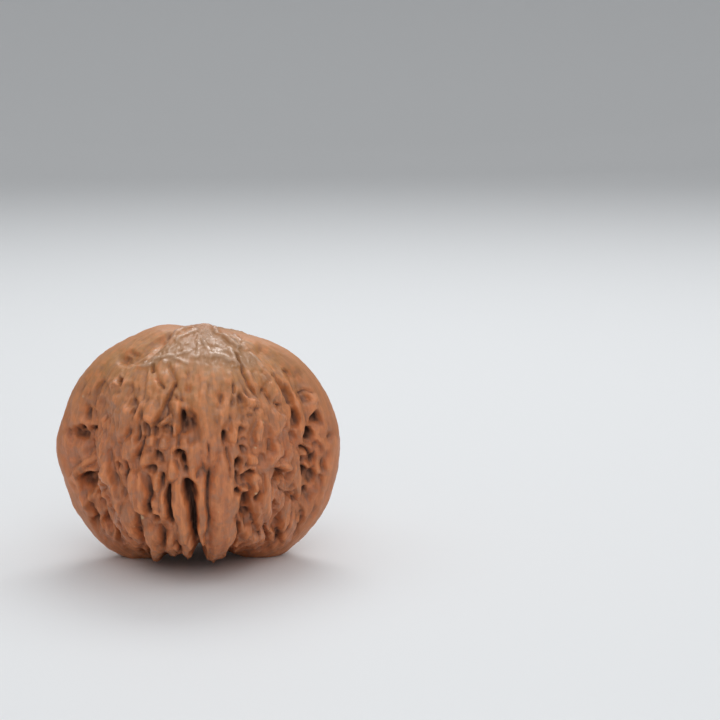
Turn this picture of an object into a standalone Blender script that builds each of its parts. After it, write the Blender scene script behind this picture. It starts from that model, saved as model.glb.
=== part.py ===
"""One walnut in its shell, standing on its seam with the tip up and one cheek to the front.

The shell is a squared-off ellipsoid with a raised seam round it, pushed in and out along its own
surface: ribs from tip to foot, a net of low walls, pits, folds below the tip and cracks. It is cut
level where it rests. Everything is worked out in millimetres and turned into metres at the end.
X runs across the seam, -Y is the front and +Z is up; the origin is under the middle, on the table.
"""

import math

import bmesh
import bpy
import numpy as np
from mathutils import noise

MM = 0.001
# The part's own sizes, in millimetres.
HEART = np.array((0.0, 0.0, 18.8))
BELLY_ACROSS = 17.2
BELLY_DEEP = 19.8
BELLY_UP = 18.3
BELLY_DOWN = 17.4
BELLY_SQUARE = 2.5
MEAN_RADIUS = 20.0
# Crest of the seam from the heart, every 15 degrees from +X towards the tip and on round.
SEAM_RADII = (22.8, 22.3, 21.7, 20.9, 19.6, 18.2, 18.2, 19.8, 20.1, 20.9, 21.5, 21.9,
              22.8, 22.5, 22.9, 23.0, 22.3, 19.6, 18.0, 19.6, 22.4, 23.0, 23.1, 22.8)
SEAM_WIDE = 4.0
VALLEY_AWAY = 6.6
VALLEY_WIDE = 3.0
VALLEY_DEEP = 1.1
TIP_ACROSS = 1.8
TIP_TALL = 1.3
TIP_WIDE = 2.1
NAVEL_DEEP = 2.2
NAVEL_WIDE = 4.0
HEEL_PLACE = (1.0, 7.5)
HEEL_DEEP = 1.6
HEEL_WIDE = 3.4
RIB_TALL = 1.0
RIB_RISE = 0.4
LINE_RISE = 0.12
BED_DEEP = 0.5
CREASE_DEEP = 0.5
EDGE_TALL = 0.4
SLOT_DEEP = 1.0
NET_DEEP = 0.7
LIP_SHARE = 0.13
UNDERCUT = 0.15
# How far the front's relief turns from the surface's own direction towards the eye of the photo.
FRONT_TURN = 0.9
DRIFT_SEED = 4
PIT_COUNT = 300
PIT_SEED = 11
# The eye of the photo from the foot of the nut: the front's features are placed as it sees them.
PHOTO_EYE = np.array((26.1, -321.2, 86.2))
SQUARES_ACROSS = 80
FACETS = 11600
SHELL_COLOUR = (0.27, 0.115, 0.055, 1.0)
SHELL_ROUGHNESS = 0.5

# Pits of the front: across, up, half width, half height, lean in degrees, depth, steepness of the wall.
PITS = (
    (-1.2, 21.6, 1.35, 2.4, 0, 2.45, 0.64),
    (-2.2, 22.6, 0.5, 1.6, 2, 2.3, 0.68),
    (-2.7, 17.0, 0.9, 0.65, -20, 2.0, 0.77),
    (-2.3, 15.9, 0.55, 0.95, 0, 2.2, 0.77),
    (-2.1, 14.6, 0.5, 0.65, 0, 1.05, 0.51),
    (-1.5, 10.4, 1.05, 2.25, 0, 2.85, 0.77),
    (-6.4, 16.4, 0.5, 1.05, -12, 1.7, 0.77),
    (-7.8, 14.4, 0.65, 0.65, 30, 1.4, 0.68),
    (-6.0, 12.6, 0.35, 0.95, 0, 1.4, 0.68),
    (-7.0, 6.7, 0.75, 0.6, 20, 1.7, 0.77),
    (-8.3, 21.0, 0.5, 1.3, 4, 1.4, 0.68),
    (-6.8, 20.7, 0.5, 0.8, 0, 1.35, 0.68),
    (-5.1, 21.0, 0.65, 0.8, 0, 1.15, 0.51),
    (4.2, 19.4, 0.4, 1.05, 5, 1.5, 0.68),
    (7.2, 21.0, 0.5, 0.65, 0, 1.15, 0.59),
    (7.6, 19.2, 0.45, 0.75, -10, 0.95, 0.42),
    (7.3, 17.4, 0.5, 0.5, 0, 1.15, 0.59),
    (6.2, 15.1, 0.65, 1.05, 4, 2.2, 0.77),
    (6.1, 13.2, 0.4, 1.15, 0, 1.15, 0.51),
    (8.2, 13.6, 0.75, 0.6, -15, 1.9, 0.77),
    (7.3, 13.0, 0.5, 0.6, 0, 1.5, 0.68),
    (6.0, 10.6, 0.6, 0.7, 0, 1.25, 0.51),
    (7.4, 8.5, 0.85, 1.55, -3, 2.85, 0.77),
    (7.5, 6.5, 0.85, 1.6, 0, 2.3, 0.59),
    (10.2, 15.8, 0.75, 0.95, 10, 0.95, 0.34),
    (13.4, 13.3, 0.95, 0.9, -20, 2.55, 0.72),
    (14.0, 11.3, 0.95, 1.3, -10, 1.15, 0.34),
    (12.4, 13.4, 0.5, 0.5, 0, 1.25, 0.59),
    (11.9, 8.0, 0.75, 1.05, -8, 1.9, 0.59),
    (12.1, 6.3, 0.8, 1.45, -3, 1.6, 0.59),
    (12.3, 3.5, 0.75, 1.6, -3, 1.15, 0.34),
    (9.8, 24.1, 0.7, 0.65, -30, 0.85, 0.34),
    (8.4, 23.2, 0.75, 0.35, 0, 0.5, 0.34),
    (6.7, 25.3, 0.65, 1.45, -12, 1.05, 0.51),
    (17.8, 19.8, 0.9, 1.3, -14, 3.05, 0.68),
    (19.1, 17.7, 0.8, 1.15, -10, 1.7, 0.51),
    (16.5, 15.7, 0.65, 0.5, -30, 2.1, 0.72),
    (19.0, 22.4, 0.95, 1.3, 0, 2.2, 0.55),
    (17.2, 13.4, 0.9, 1.15, -10, 3.05, 0.68),
    (18.2, 12.2, 1.35, 1.75, 15, 2.65, 0.59),
    (17.2, 9.9, 0.9, 1.6, 12, 2.3, 0.59),
    (-19.1, 20.1, 1.55, 1.55, 10, 2.75, 0.59),
    (-18.8, 21.3, 0.75, 0.65, 0, 2.85, 0.68),
    (-16.8, 21.1, 0.75, 0.45, -8, 1.8, 0.77),
    (-17.6, 12.2, 1.6, 1.55, -5, 3.25, 0.64),
    (-18.4, 12.8, 0.9, 0.95, 20, 3.8, 0.72),
    (-16.6, 13.2, 0.95, 0.55, -10, 2.45, 0.68),
    (-17.7, 18.1, 0.75, 1.15, 20, 1.4, 0.51),
    (-16.0, 15.2, 0.55, 0.95, -10, 1.15, 0.51),
    (-12.9, 14.8, 0.5, 0.75, 0, 1.15, 0.59),
    (-12.3, 10.8, 0.7, 0.75, 0, 1.15, 0.51),
    (-14.8, 5.9, 0.8, 1.3, -8, 2.3, 0.59),
    (-13.8, 7.7, 0.55, 0.8, -30, 1.5, 0.51),
    (-13.1, 3.4, 0.6, 1.05, -6, 2.3, 0.72),
    (-0.4, 0.8, 1.15, 1.3, 0, 3.05, 0.68),
    (4.9, 1.4, 0.65, 0.95, 4, 2.1, 0.68),
    (14.1, 21.5, 0.45, 0.95, -5, 1.15, 0.51),
    (15.3, 22.1, 0.45, 1.45, -3, 1.35, 0.59),
    (-4.3, 20.6, 0.3, 0.95, 0, 1.15, 0.59),
    (-12.3, 28.7, 0.5, 0.65, 0, 1.25, 0.68),
    (-15.0, 27.9, 0.8, 0.95, 20, 0.75, 0.42),
    (-1.5, 27.2, 0.5, 0.8, 0, 0.35, 0.26),
    (-15.3, 11.7, 0.65, 0.5, -40, 0.85, 0.51),
    (-16.1, 8.9, 0.5, 0.95, 20, 0.75, 0.42),
    (-13.7, 18.9, 0.55, 0.95, 0, 0.75, 0.42),
    (-15.3, 25.5, 0.8, 1.15, 10, 0.55, 0.34),
    (16.5, 29.4, 0.8, 1.45, -22, 0.5, 0.26),
    (14.9, 29.0, 0.4, 1.45, -20, 0.65, 0.42),
    (15.2, 23.0, 0.5, 1.3, 0, 1.7, 0.64),
    (15.9, 6.8, 0.55, 1.45, -15, 1.15, 0.42),
    (-9.9, 33.4, 0.8, 0.55, 10, 0.85, 0.51),
    (15.2, 19.7, 0.4, 1.15, 0, 0.95, 0.51),
    (-5.1, 10.1, 0.35, 0.65, 0, 1.15, 0.68),
    (5.7, 25.3, 0.35, 1.3, 0, 0.5, 0.34),
)

# Strokes of the front, each a line of (across, up, half width) points and a height or a depth.

# Broad shallow hollows.
SCOOPS = (
    (((-4.4, 35.9, 0.65), (-7.0, 34.5, 1.13), (-9.3, 33.2, 1.29), (-11.6, 32.3, 0.97)), 1.3),
    (((10.5, 33.7, 0.97), (13.0, 32.1, 1.29), (15.4, 29.1, 1.29), (16.9, 25.9, 1.13)), 1.2),
    (((-6.6, 33.8, 0.81), (-3.4, 34.1, 0.81)), 0.35),
    (((4.1, 34.6, 0.65), (5.7, 33.7, 0.65)), 0.3),
    (((-18.0, 19.6, 1.45), (-17.1, 16.3, 1.45)), 1.0),
    (((-16.7, 9.7, 1.45), (-15.2, 6.1, 1.61)), 1.0),
    (((18.3, 19.3, 1.29), (18.2, 14.4, 1.45), (17.2, 9.4, 1.29)), 1.0),
    (((-15.9, 26.9, 0.97), (-15.6, 23.7, 1.13)), 0.5),
)

# Rounded ribs.
RIBS = (
    (((1.2, 37.5, 0.19), (-1.6, 35.9, 1.29), (-5.8, 33.7, 0.6)), 0.6),
    (((1.5, 37.5, 0.29), (1.1, 35.7, 1.61), (1.1, 33.8, 1.33)), 0.48),
    (((1.9, 37.2, 0.19), (4.1, 35.0, 1.13), (6.9, 31.9, 0.6)), 0.6),
    (((-3.3, 31.5, 0.58), (-3.0, 30.6, 1.05), (-2.7, 29.6, 0.85)), 0.42),
    (((-5.4, 31.2, 0.48), (-6.2, 29.0, 0.97), (-6.9, 27.4, 0.73)), 0.42),
    (((2.8, 31.2, 0.77), (3.0, 28.4, 1.45), (3.3, 26.3, 0.97)), 0.42),
    (((5.0, 30.8, 0.39), (5.1, 29.4, 0.65), (5.3, 27.9, 0.48)), 0.42),
    (((-7.6, 30.8, 0.29), (-7.5, 28.5, 0.48), (-7.7, 26.2, 0.36)), 0.42),
    (((-11.6, 25.6, 0.48), (-11.5, 23.5, 0.89), (-11.9, 21.2, 0.81), (-12.6, 19.2, 0.54)), 0.96),
    (((-13.6, 28.7, 0.44), (-13.4, 28.4, 0.73), (-13.3, 28.1, 0.54)), 0.66),
    (((-13.0, 27.2, 0.29), (-13.1, 26.1, 0.48), (-13.2, 25.0, 0.36)), 0.6),
    (((-5.9, 30.4, 0.58), (-5.6, 29.4, 0.97), (-5.4, 28.3, 0.73)), 0.48),
    (((-8.5, 25.7, 0.29), (-9.4, 24.0, 0.48), (-10.4, 21.8, 0.36)), 0.6),
    (((-7.1, 25.7, 0.58), (-7.5, 23.8, 1.13), (-7.7, 22.0, 0.73)), 0.96),
    (((-6.6, 21.3, 0.24), (-5.6, 22.1, 0.48), (-4.6, 22.9, 0.36)), 0.84),
    (((-4.0, 26.0, 0.39), (-3.6, 24.7, 0.73), (-3.3, 22.9, 0.48)), 0.9),
    (((-2.8, 25.7, 0.24), (-3.5, 27.5, 0.32), (-4.0, 26.0, 0.3)), 0.42),
    (((-2.7, 30.4, 0.48), (-2.5, 29.5, 0.81), (-2.4, 28.6, 0.6)), 0.42),
    (((-3.8, 22.0, 0.19), (-3.8, 20.7, 0.36), (-3.9, 19.5, 0.3)), 0.84),
    (((-5.2, 19.5, 0.39), (-5.4, 18.5, 0.65), (-5.7, 17.5, 0.48)), 0.96),
    (((-7.6, 19.9, 0.44), (-7.6, 18.9, 0.77), (-7.6, 17.9, 0.6)), 0.96),
    (((1.0, 30.5, 0.87), (1.4, 26.0, 1.61), (1.7, 19.4, 1.77), (1.8, 14.5, 1.09)), 0.96),
    (((3.6, 17.5, 0.58), (3.6, 13.2, 1.45), (3.8, 9.1, 2.26), (3.5, 4.6, 2.1), (2.2, 0.2, 1.13),
      (2.0, -0.6, 0.48)), 1.8),
    (((0.0, 14.5, 0.58), (0.3, 11.2, 1.05), (0.2, 7.6, 1.05), (0.5, 3.8, 0.89), (0.9, -0.4, 0.42)), 1.56),
    (((4.8, 26.3, 0.58), (4.2, 23.5, 1.13), (3.2, 21.1, 0.73)), 0.72),
    (((8.3, 26.1, 0.68), (8.3, 25.2, 1.21), (8.3, 24.3, 0.97)), 1.2),
    (((10.5, 31.4, 0.48), (11.4, 29.6, 0.81), (12.3, 27.2, 0.97), (12.9, 25.7, 0.6)), 0.6),
    (((7.9, 30.5, 0.39), (8.8, 28.5, 0.65), (9.7, 27.2, 0.48)), 0.42),
    (((12.7, 30.4, 0.39), (14.2, 29.0, 0.81), (15.2, 27.2, 0.81), (16.0, 25.4, 0.73),
      (16.2, 21.8, 0.81), (16.2, 18.5, 0.6)), 0.84),
    (((12.1, 24.3, 0.48), (12.9, 22.3, 0.81), (12.5, 19.4, 0.73)), 0.96),
    (((10.1, 22.3, 0.39), (9.8, 20.7, 0.65), (9.6, 18.2, 0.48)), 0.84),
    (((5.8, 21.1, 0.48), (5.7, 19.8, 0.81), (5.6, 18.6, 0.6)), 0.84),
    (((17.9, 25.5, 0.68), (18.4, 25.2, 1.05), (18.8, 24.9, 0.73)), 0.54),
    (((-16.2, 17.0, 0.29), (-17.8, 16.0, 0.48), (-19.3, 14.9, 0.48), (-20.8, 12.9, 0.36)), 0.96),
    (((-15.9, 19.9, 0.44), (-15.5, 17.6, 0.73), (-15.1, 15.3, 0.65), (-14.8, 13.7, 0.56),
      (-13.9, 11.7, 0.48), (-13.3, 9.7, 0.48), (-13.0, 7.4, 0.56), (-12.9, 5.0, 0.48)), 1.08),
    (((-11.1, 20.2, 0.58), (-11.0, 17.9, 1.13), (-11.4, 15.6, 0.73)), 0.84),
    (((-12.2, 9.7, 0.39), (-11.8, 6.4, 1.13), (-10.9, 3.0, 1.13), (-9.7, 0.7, 0.73)), 0.96),
    (((-10.9, 14.0, 0.39), (-10.5, 12.0, 1.29), (-9.9, 9.7, 1.29), (-9.3, 7.0, 0.6)), 1.68),
    (((-8.7, 5.2, 0.58), (-8.0, 3.3, 1.21), (-7.5, 1.5, 1.13), (-6.6, -0.2, 0.48)), 1.8),
    (((-5.9, 10.3, 0.34), (-5.7, 8.3, 0.56), (-5.6, 6.5, 0.36)), 1.2),
    (((-6.7, 13.9, 0.39), (-6.9, 12.3, 0.73), (-7.1, 10.8, 0.48)), 0.96),
    (((-4.6, 15.9, 0.48), (-4.3, 13.7, 0.89), (-4.4, 11.9, 0.6)), 1.08),
    (((-3.4, 13.6, 0.48), (-3.5, 11.3, 0.89), (-3.2, 8.6, 1.21), (-2.9, 6.0, 1.37), (-2.6, 3.6, 1.29),
      (-2.1, 1.6, 0.81), (-2.0, 0.4, 0.42)), 1.68),
    (((-4.9, 4.6, 0.48), (-4.6, 2.1, 1.13), (-3.8, 0.5, 0.6)), 0.96),
    (((-7.5, 17.4, 0.39), (-8.3, 15.9, 0.81), (-9.3, 14.9, 0.48)), 0.96),
    (((-0.3, 19.5, 0.58), (-0.6, 15.4, 0.97), (-1.1, 13.2, 0.6)), 0.84),
    (((8.9, 13.8, 0.48), (9.2, 11.8, 0.89), (9.1, 10.3, 0.48)), 1.08),
    (((10.8, 14.1, 0.39), (10.8, 11.1, 0.81), (10.6, 8.2, 0.81), (10.4, 5.8, 0.48)), 0.96),
    (((11.0, 4.8, 0.29), (11.1, 3.6, 0.52), (11.1, 2.3, 0.42)), 0.72),
    (((8.7, 4.2, 0.77), (8.6, 3.3, 1.45), (8.5, 2.4, 1.21)), 1.56),
    (((9.5, 9.5, 0.44), (9.6, 6.8, 0.81), (9.4, 4.2, 0.6)), 0.72),
    (((14.6, 19.3, 0.48), (14.9, 16.9, 0.97), (15.2, 14.4, 1.05), (15.8, 11.6, 0.97),
      (16.4, 9.4, 0.48)), 1.08),
    (((13.7, 12.1, 0.58), (14.2, 11.4, 0.97), (14.8, 10.6, 0.73)), 0.84),
    (((12.5, 19.4, 0.39), (12.8, 16.9, 0.81), (12.0, 15.1, 0.48)), 0.84),
    (((8.6, 16.9, 0.48), (8.6, 16.0, 0.81), (8.6, 15.1, 0.6)), 0.84),
    (((5.2, 16.5, 0.29), (5.0, 13.7, 0.56), (5.5, 11.8, 0.36)), 0.72),
    (((7.1, 11.7, 0.39), (7.2, 11.1, 0.65), (7.4, 10.5, 0.48)), 0.72),
    (((14.1, 7.5, 0.68), (13.9, 4.8, 1.29), (13.1, 2.3, 0.85)), 1.08),
    (((-8.0, 9.6, 0.39), (-7.8, 8.8, 0.65), (-7.5, 8.0, 0.48)), 0.6),
)

# Grooves between ribs.
GROOVES = (
    (((-4.8, 35.6, 0.65), (-7.0, 34.2, 0.81), (-8.8, 32.9, 0.89), (-10.6, 32.1, 0.81),
      (-12.0, 32.4, 0.65)), 1.2),
    (((-14.8, 29.4, 0.24), (-15.8, 27.9, 0.32), (-16.5, 26.5, 0.32), (-17.0, 24.8, 0.32)), 0.9),
    (((-3.3, 28.6, 0.24), (-3.9, 27.3, 0.32), (-4.7, 25.9, 0.4), (-5.5, 24.4, 0.4), (-6.4, 22.8, 0.4),
      (-6.9, 21.5, 0.4)), 1.0),
    (((-4.5, 25.4, 0.65), (-5.2, 23.4, 0.56)), 0.6),
    (((-10.3, 26.2, 0.4), (-10.0, 24.8, 0.48), (-10.4, 23.2, 0.32)), 0.9),
    (((11.9, 30.0, 0.32), (12.6, 28.7, 0.4), (13.6, 27.4, 0.48), (14.4, 26.0, 0.48),
      (15.0, 24.6, 0.4)), 1.3),
    (((14.3, 30.6, 0.4), (14.9, 28.8, 0.48), (15.5, 27.2, 0.4), (16.3, 26.0, 0.32)), 0.7),
    (((-4.8, 11.8, 0.32), (-5.1, 9.6, 0.4), (-4.8, 7.6, 0.45), (-4.6, 5.6, 0.32)), 2.3),
    (((-1.5, 12.2, 0.65), (-1.4, 9.6, 0.73), (-1.2, 7.3, 0.58), (-1.0, 4.9, 0.48)), 2.7),
    (((-1.2, 8.3, 0.42), (-1.0, 5.9, 0.44), (-0.7, 3.3, 0.42), (-0.5, 1.6, 0.65), (-0.3, 0.3, 0.97),
      (-0.3, -1.4, 1.05)), 3.0),
    (((-8.8, 20.0, 0.29), (-9.3, 18.1, 0.32), (-9.7, 16.3, 0.32)), 1.3),
    (((-14.3, 18.3, 0.32), (-14.3, 16.0, 0.35), (-13.8, 13.7, 0.35), (-13.4, 11.3, 0.35),
      (-13.0, 9.2, 0.32)), 0.9),
    (((6.3, 7.5, 0.32), (6.2, 5.5, 0.35), (5.9, 3.6, 0.35), (5.4, 1.9, 0.48)), 1.5),
    (((10.4, 5.5, 0.26), (10.4, 3.8, 0.29), (10.1, 2.0, 0.26)), 0.9),
    (((12.6, 12.0, 0.29), (13.5, 10.9, 0.32), (14.6, 10.0, 0.32), (15.6, 8.8, 0.35), (16.3, 7.6, 0.42),
      (16.5, 6.3, 0.32)), 1.3),
    (((16.2, 18.5, 0.29), (16.8, 17.7, 0.32), (17.6, 16.9, 0.32), (18.2, 15.9, 0.29)), 2.0),
    (((-10.1, 7.7, 0.32), (-9.9, 5.3, 0.35), (-9.1, 3.0, 0.48), (-8.3, 1.5, 0.48), (-7.9, 0.3, 0.32)), 1.4),
    (((-6.3, 5.5, 0.4), (-6.0, 3.7, 0.48), (-5.6, 1.8, 0.32)), 1.2),
    (((4.5, 18.1, 0.26), (4.6, 15.3, 0.29), (4.7, 12.8, 0.26)), 0.45),
    (((10.4, 13.8, 0.23), (10.3, 11.8, 0.27), (10.1, 10.2, 0.23)), 0.7),
    (((-16.9, 25.5, 0.32), (-17.6, 23.5, 0.4), (-18.1, 22.2, 0.32)), 0.5),
    (((-14.6, 22.2, 0.32), (-14.6, 19.6, 0.4)), 0.5),
    (((-16.6, 24.5, 0.4), (-16.5, 22.1, 0.48), (-16.4, 19.6, 0.4)), 0.6),
    (((16.8, 14.7, 0.32), (16.5, 11.9, 0.32), (16.7, 9.4, 0.32)), 0.8),
    (((13.6, 17.4, 0.26), (13.7, 15.9, 0.32)), 1.1),
    (((11.7, 19.4, 0.24), (11.5, 17.4, 0.29)), 0.8),
    (((-10.8, 8.3, 0.24), (-11.4, 9.7, 0.24), (-11.6, 11.7, 0.29), (-11.7, 13.6, 0.29)), 0.9),
    (((-8.4, 13.3, 0.26), (-8.1, 11.3, 0.32), (-8.0, 9.2, 0.32), (-8.2, 7.3, 0.32)), 1.0),
    (((-6.4, 29.1, 0.19), (-5.4, 27.8, 0.23)), 0.4),
    (((16.5, 26.8, 0.19), (17.7, 27.3, 0.23), (18.7, 26.7, 0.19)), 0.5),
    (((13.7, 25.1, 0.24), (12.6, 25.1, 0.29)), 0.6),
    (((10.4, 30.5, 0.26), (11.4, 28.7, 0.26), (10.5, 26.7, 0.26)), 0.5),
    (((7.8, 16.1, 0.23), (7.6, 14.8, 0.23)), 0.6),
)

# Cracks.
CRACKS = (
    (((1.5, 19.5, 0.15), (1.6, 14.5, 0.16), (1.2, 9.6, 0.19), (1.4, 6.3, 0.19), (0.9, 3.8, 0.19),
      (0.7, 0.3, 0.23)), 0.6),
    (((5.7, 33.5, 0.16), (6.5, 32.6, 0.18), (7.1, 31.3, 0.19), (7.5, 29.8, 0.21), (8.2, 28.2, 0.23),
      (8.8, 27.2, 0.23), (9.6, 26.2, 0.24), (9.7, 24.6, 0.29)), 0.9),
    (((5.8, 28.6, 0.19), (5.9, 26.6, 0.23)), 0.6),
    (((-7.1, 31.6, 0.18), (-7.1, 30.4, 0.18)), 0.6),
    (((-9.4, 28.0, 0.21), (-9.8, 26.2, 0.24)), 0.5),
    (((7.1, 36.3, 0.15), (7.3, 34.7, 0.16)), 0.4),
)

# Thin raised veins, and the arches over some pits.
VEINS = (
    (((-12.8, 27.6, 0.37), (-11.8, 28.1, 0.37), (-11.0, 28.7, 0.37), (-10.2, 28.4, 0.37),
      (-9.8, 27.5, 0.37)), 0.28),
    (((-4.3, 27.3, 0.37), (-5.6, 26.7, 0.37), (-6.8, 26.2, 0.37), (-7.6, 25.9, 0.37)), 0.24),
    (((-14.8, 13.2, 0.44), (-16.3, 11.1, 0.44), (-17.8, 9.4, 0.41), (-19.2, 7.7, 0.37)), 0.84),
    (((-16.7, 9.7, 0.37), (-15.2, 10.2, 0.39), (-14.1, 11.4, 0.37)), 0.56),
    (((-16.3, 6.9, 0.39), (-15.2, 4.9, 0.41), (-14.3, 2.9, 0.37)), 0.7),
    (((-20.7, 11.9, 0.44), (-19.5, 13.4, 0.48), (-18.0, 14.2, 0.48), (-16.2, 14.2, 0.48),
      (-14.8, 13.3, 0.44)), 0.56),
    (((16.9, 23.6, 0.44), (18.3, 23.8, 0.48), (19.5, 24.4, 0.44)), 0.28),
    (((-2.5, 24.1, 0.39), (-1.5, 24.5, 0.44), (-0.4, 24.0, 0.39)), 0.35),
    (((-5.4, 17.0, 0.44), (-3.7, 17.9, 0.48), (-2.0, 17.8, 0.48), (-1.4, 16.7, 0.44)), 0.49),
    (((-11.4, 14.0, 0.44), (-9.8, 13.5, 0.44), (-8.3, 15.3, 0.48), (-7.3, 16.2, 0.44)), 0.42),
    (((6.6, 12.8, 0.39), (7.4, 14.3, 0.44), (9.2, 14.5, 0.44)), 0.42),
    (((-2.6, 12.6, 0.39), (-1.4, 13.0, 0.44), (-0.3, 12.4, 0.39)), 0.42),
    (((6.6, 9.7, 0.44), (7.7, 10.3, 0.44), (9.3, 10.2, 0.48)), 0.49),
    (((11.9, 13.9, 0.39), (13.1, 14.8, 0.44), (14.5, 14.1, 0.44)), 0.42),
    (((16.3, 14.7, 0.39), (17.3, 15.2, 0.39), (18.4, 13.9, 0.44), (19.3, 12.9, 0.39)), 0.42),
    (((17.4, 21.8, 0.37), (17.8, 20.5, 0.39), (18.8, 19.0, 0.39), (18.6, 17.3, 0.37)), 0.35),
    (((-14.3, 2.2, 0.37), (-13.5, 4.0, 0.39), (-12.6, 4.4, 0.44), (-12.0, 2.9, 0.39)), 0.49),
    (((-8.0, 7.3, 0.37), (-7.1, 7.7, 0.39), (-5.9, 6.8, 0.37)), 0.35),
    (((-20.0, 22.1, 0.39), (-18.6, 22.4, 0.39), (-17.3, 21.9, 0.39)), 0.35),
    (((5.2, 21.7, 0.39), (6.6, 21.9, 0.39), (7.9, 21.5, 0.39)), 0.35),
    (((9.1, 19.2, 0.37), (9.6, 21.3, 0.37), (10.6, 22.5, 0.39), (11.6, 21.2, 0.37)), 0.32),
    (((-13.8, 15.6, 0.37), (-13.0, 15.9, 0.37), (-12.2, 15.3, 0.37)), 0.28),
    (((11.1, 8.5, 0.37), (11.9, 9.1, 0.39), (12.8, 8.5, 0.37)), 0.35),
)

# Folds of the cap below the tip.
CAP_FOLDS = (
    (((1.0, 37.6, 0.31), (-0.1, 37.3, 0.39), (-1.4, 36.9, 0.45), (-2.7, 36.2, 0.48), (-4.6, 35.4, 0.52),
      (-6.4, 34.7, 0.52), (-7.2, 34.0, 0.52), (-8.3, 32.9, 0.45), (-9.6, 32.1, 0.4),
      (-11.1, 31.3, 0.35)), 1.15),
    (((0.5, 37.0, 0.31), (-0.6, 36.5, 0.32), (-1.9, 35.7, 0.32), (-3.2, 35.1, 0.32)), 0.59),
    (((2.4, 37.5, 0.31), (3.1, 36.8, 0.39), (3.7, 36.0, 0.44), (4.5, 35.4, 0.47), (5.6, 34.7, 0.47),
      (7.0, 33.9, 0.42)), 1.05),
    (((4.2, 37.1, 0.32), (5.6, 36.6, 0.32), (6.4, 35.5, 0.32), (7.5, 34.5, 0.35), (8.7, 34.0, 0.35)), 0.5),
    (((4.5, 37.1, 0.31), (5.4, 36.0, 0.31), (6.4, 35.0, 0.31), (7.8, 34.7, 0.31), (9.1, 34.0, 0.31)), 0.31),
    (((-6.9, 33.5, 0.31), (-6.8, 32.7, 0.31), (-5.5, 32.5, 0.31), (-4.2, 33.0, 0.31),
      (-2.9, 33.3, 0.31), (-1.0, 33.6, 0.31)), 0.34),
    (((-3.9, 32.8, 0.31), (-2.9, 32.2, 0.31), (-2.0, 31.7, 0.31), (-1.0, 31.6, 0.31)), 0.34),
    (((-5.3, 31.6, 0.31), (-4.6, 31.6, 0.31)), 0.26),
    (((-9.4, 31.0, 0.31), (-8.2, 31.3, 0.31), (-7.3, 31.6, 0.31)), 0.51),
    (((0.6, 35.6, 0.31), (1.3, 34.6, 0.31), (2.2, 33.6, 0.31), (3.8, 33.4, 0.31), (5.2, 33.6, 0.31),
      (6.2, 32.8, 0.31)), 0.31),
    (((2.1, 35.7, 0.31), (2.9, 34.6, 0.31), (3.8, 33.9, 0.31)), 0.2),
    (((1.9, 33.0, 0.31), (3.0, 33.0, 0.31), (4.3, 32.8, 0.31), (5.2, 32.1, 0.31), (6.3, 31.7, 0.31),
      (7.1, 31.1, 0.31)), 0.42),
    (((5.5, 31.3, 0.31), (6.5, 31.1, 0.31)), 0.2),
    (((-0.0, 34.9, 0.31), (0.4, 33.8, 0.31), (0.1, 32.5, 0.31)), 0.2),
    (((-8.4, 32.4, 0.4), (-8.0, 32.1, 0.4)), 0.51),
    (((8.6, 33.7, 0.31), (9.8, 32.1, 0.31), (10.8, 30.8, 0.31)), 0.34),
)


def smooth(low, high, value):
    """0 at low, 1 at high, with an easy start and end; high may be under low."""
    share = np.clip((value - low) / (high - low), 0.0, 1.0)
    return share * share * (3.0 - 2.0 * share)


def unit(vectors):
    return vectors / np.linalg.norm(vectors, axis=-1, keepdims=True)


def dot(first, second):
    return (first * second).sum(axis=-1)


def belly_radius(ways):
    """Distance from the heart to the two cheeks, round from above and squared-off from the side."""
    tall = np.where(ways[:, 2] > 0, BELLY_UP, BELLY_DOWN)
    level = np.hypot(ways[:, 0] / BELLY_ACROSS, ways[:, 1] / BELLY_DEEP)
    return (level**BELLY_SQUARE + (np.abs(ways[:, 2]) / tall) ** BELLY_SQUARE) ** (-1.0 / BELLY_SQUARE)


def seam_radius(ways):
    """Distance from the heart to the crest of the seam, a smooth curve through SEAM_RADII."""
    radii = np.array(SEAM_RADII)
    turn = np.arctan2(ways[:, 2], ways[:, 0]) / (2 * math.pi) * len(radii)
    first = np.floor(turn).astype(int)
    share = turn - first
    before, here, after, beyond = (radii[(first + step) % len(radii)] for step in (-1, 0, 1, 2))
    slope = after - before
    bend = 2 * before - 5 * here + 4 * after - beyond
    twist = 3 * here - before - 3 * after + beyond
    return 0.5 * (2 * here + slope * share + bend * share**2 + twist * share**3)


def plain_form(ways):
    """Points of the nut without its relief: cheeks, seam with a valley on each side, tip and navel."""
    belly = belly_radius(ways)
    away = np.abs(ways[:, 1]) * belly
    in_seam_plane = smooth(0.2, 0.7, np.hypot(ways[:, 0], ways[:, 2]))
    seam = np.exp(-((away / SEAM_WIDE) ** 1.7)) * in_seam_plane
    valley = VALLEY_DEEP * np.exp(-(((away - VALLEY_AWAY) / VALLEY_WIDE) ** 2))
    flank = smooth(0.35, 0.95, np.abs(ways[:, 0]))
    radius = belly + (seam_radius(ways) - belly) * seam - valley * flank
    points = HEART + ways * radius[:, None]
    from_tip = np.hypot(points[:, 0] - TIP_ACROSS, points[:, 1] * 0.9)
    from_navel = np.hypot(points[:, 0] * 0.75, points[:, 1])
    heel = np.hypot((points[:, 0] - HEEL_PLACE[0]) / 2.0, points[:, 1] - HEEL_PLACE[1])
    low = smooth(0.0, 0.6, -ways[:, 2])
    points[:, 2] += smooth(0.0, 0.6, ways[:, 2]) * TIP_TALL * np.exp(-((from_tip / TIP_WIDE) ** 1.4))
    points[:, 2] += low * NAVEL_DEEP * np.exp(-((from_navel / NAVEL_WIDE) ** 2))
    points[:, 2] -= low * HEEL_DEEP * np.exp(-((heel / HEEL_WIDE) ** 2))
    return points


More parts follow.
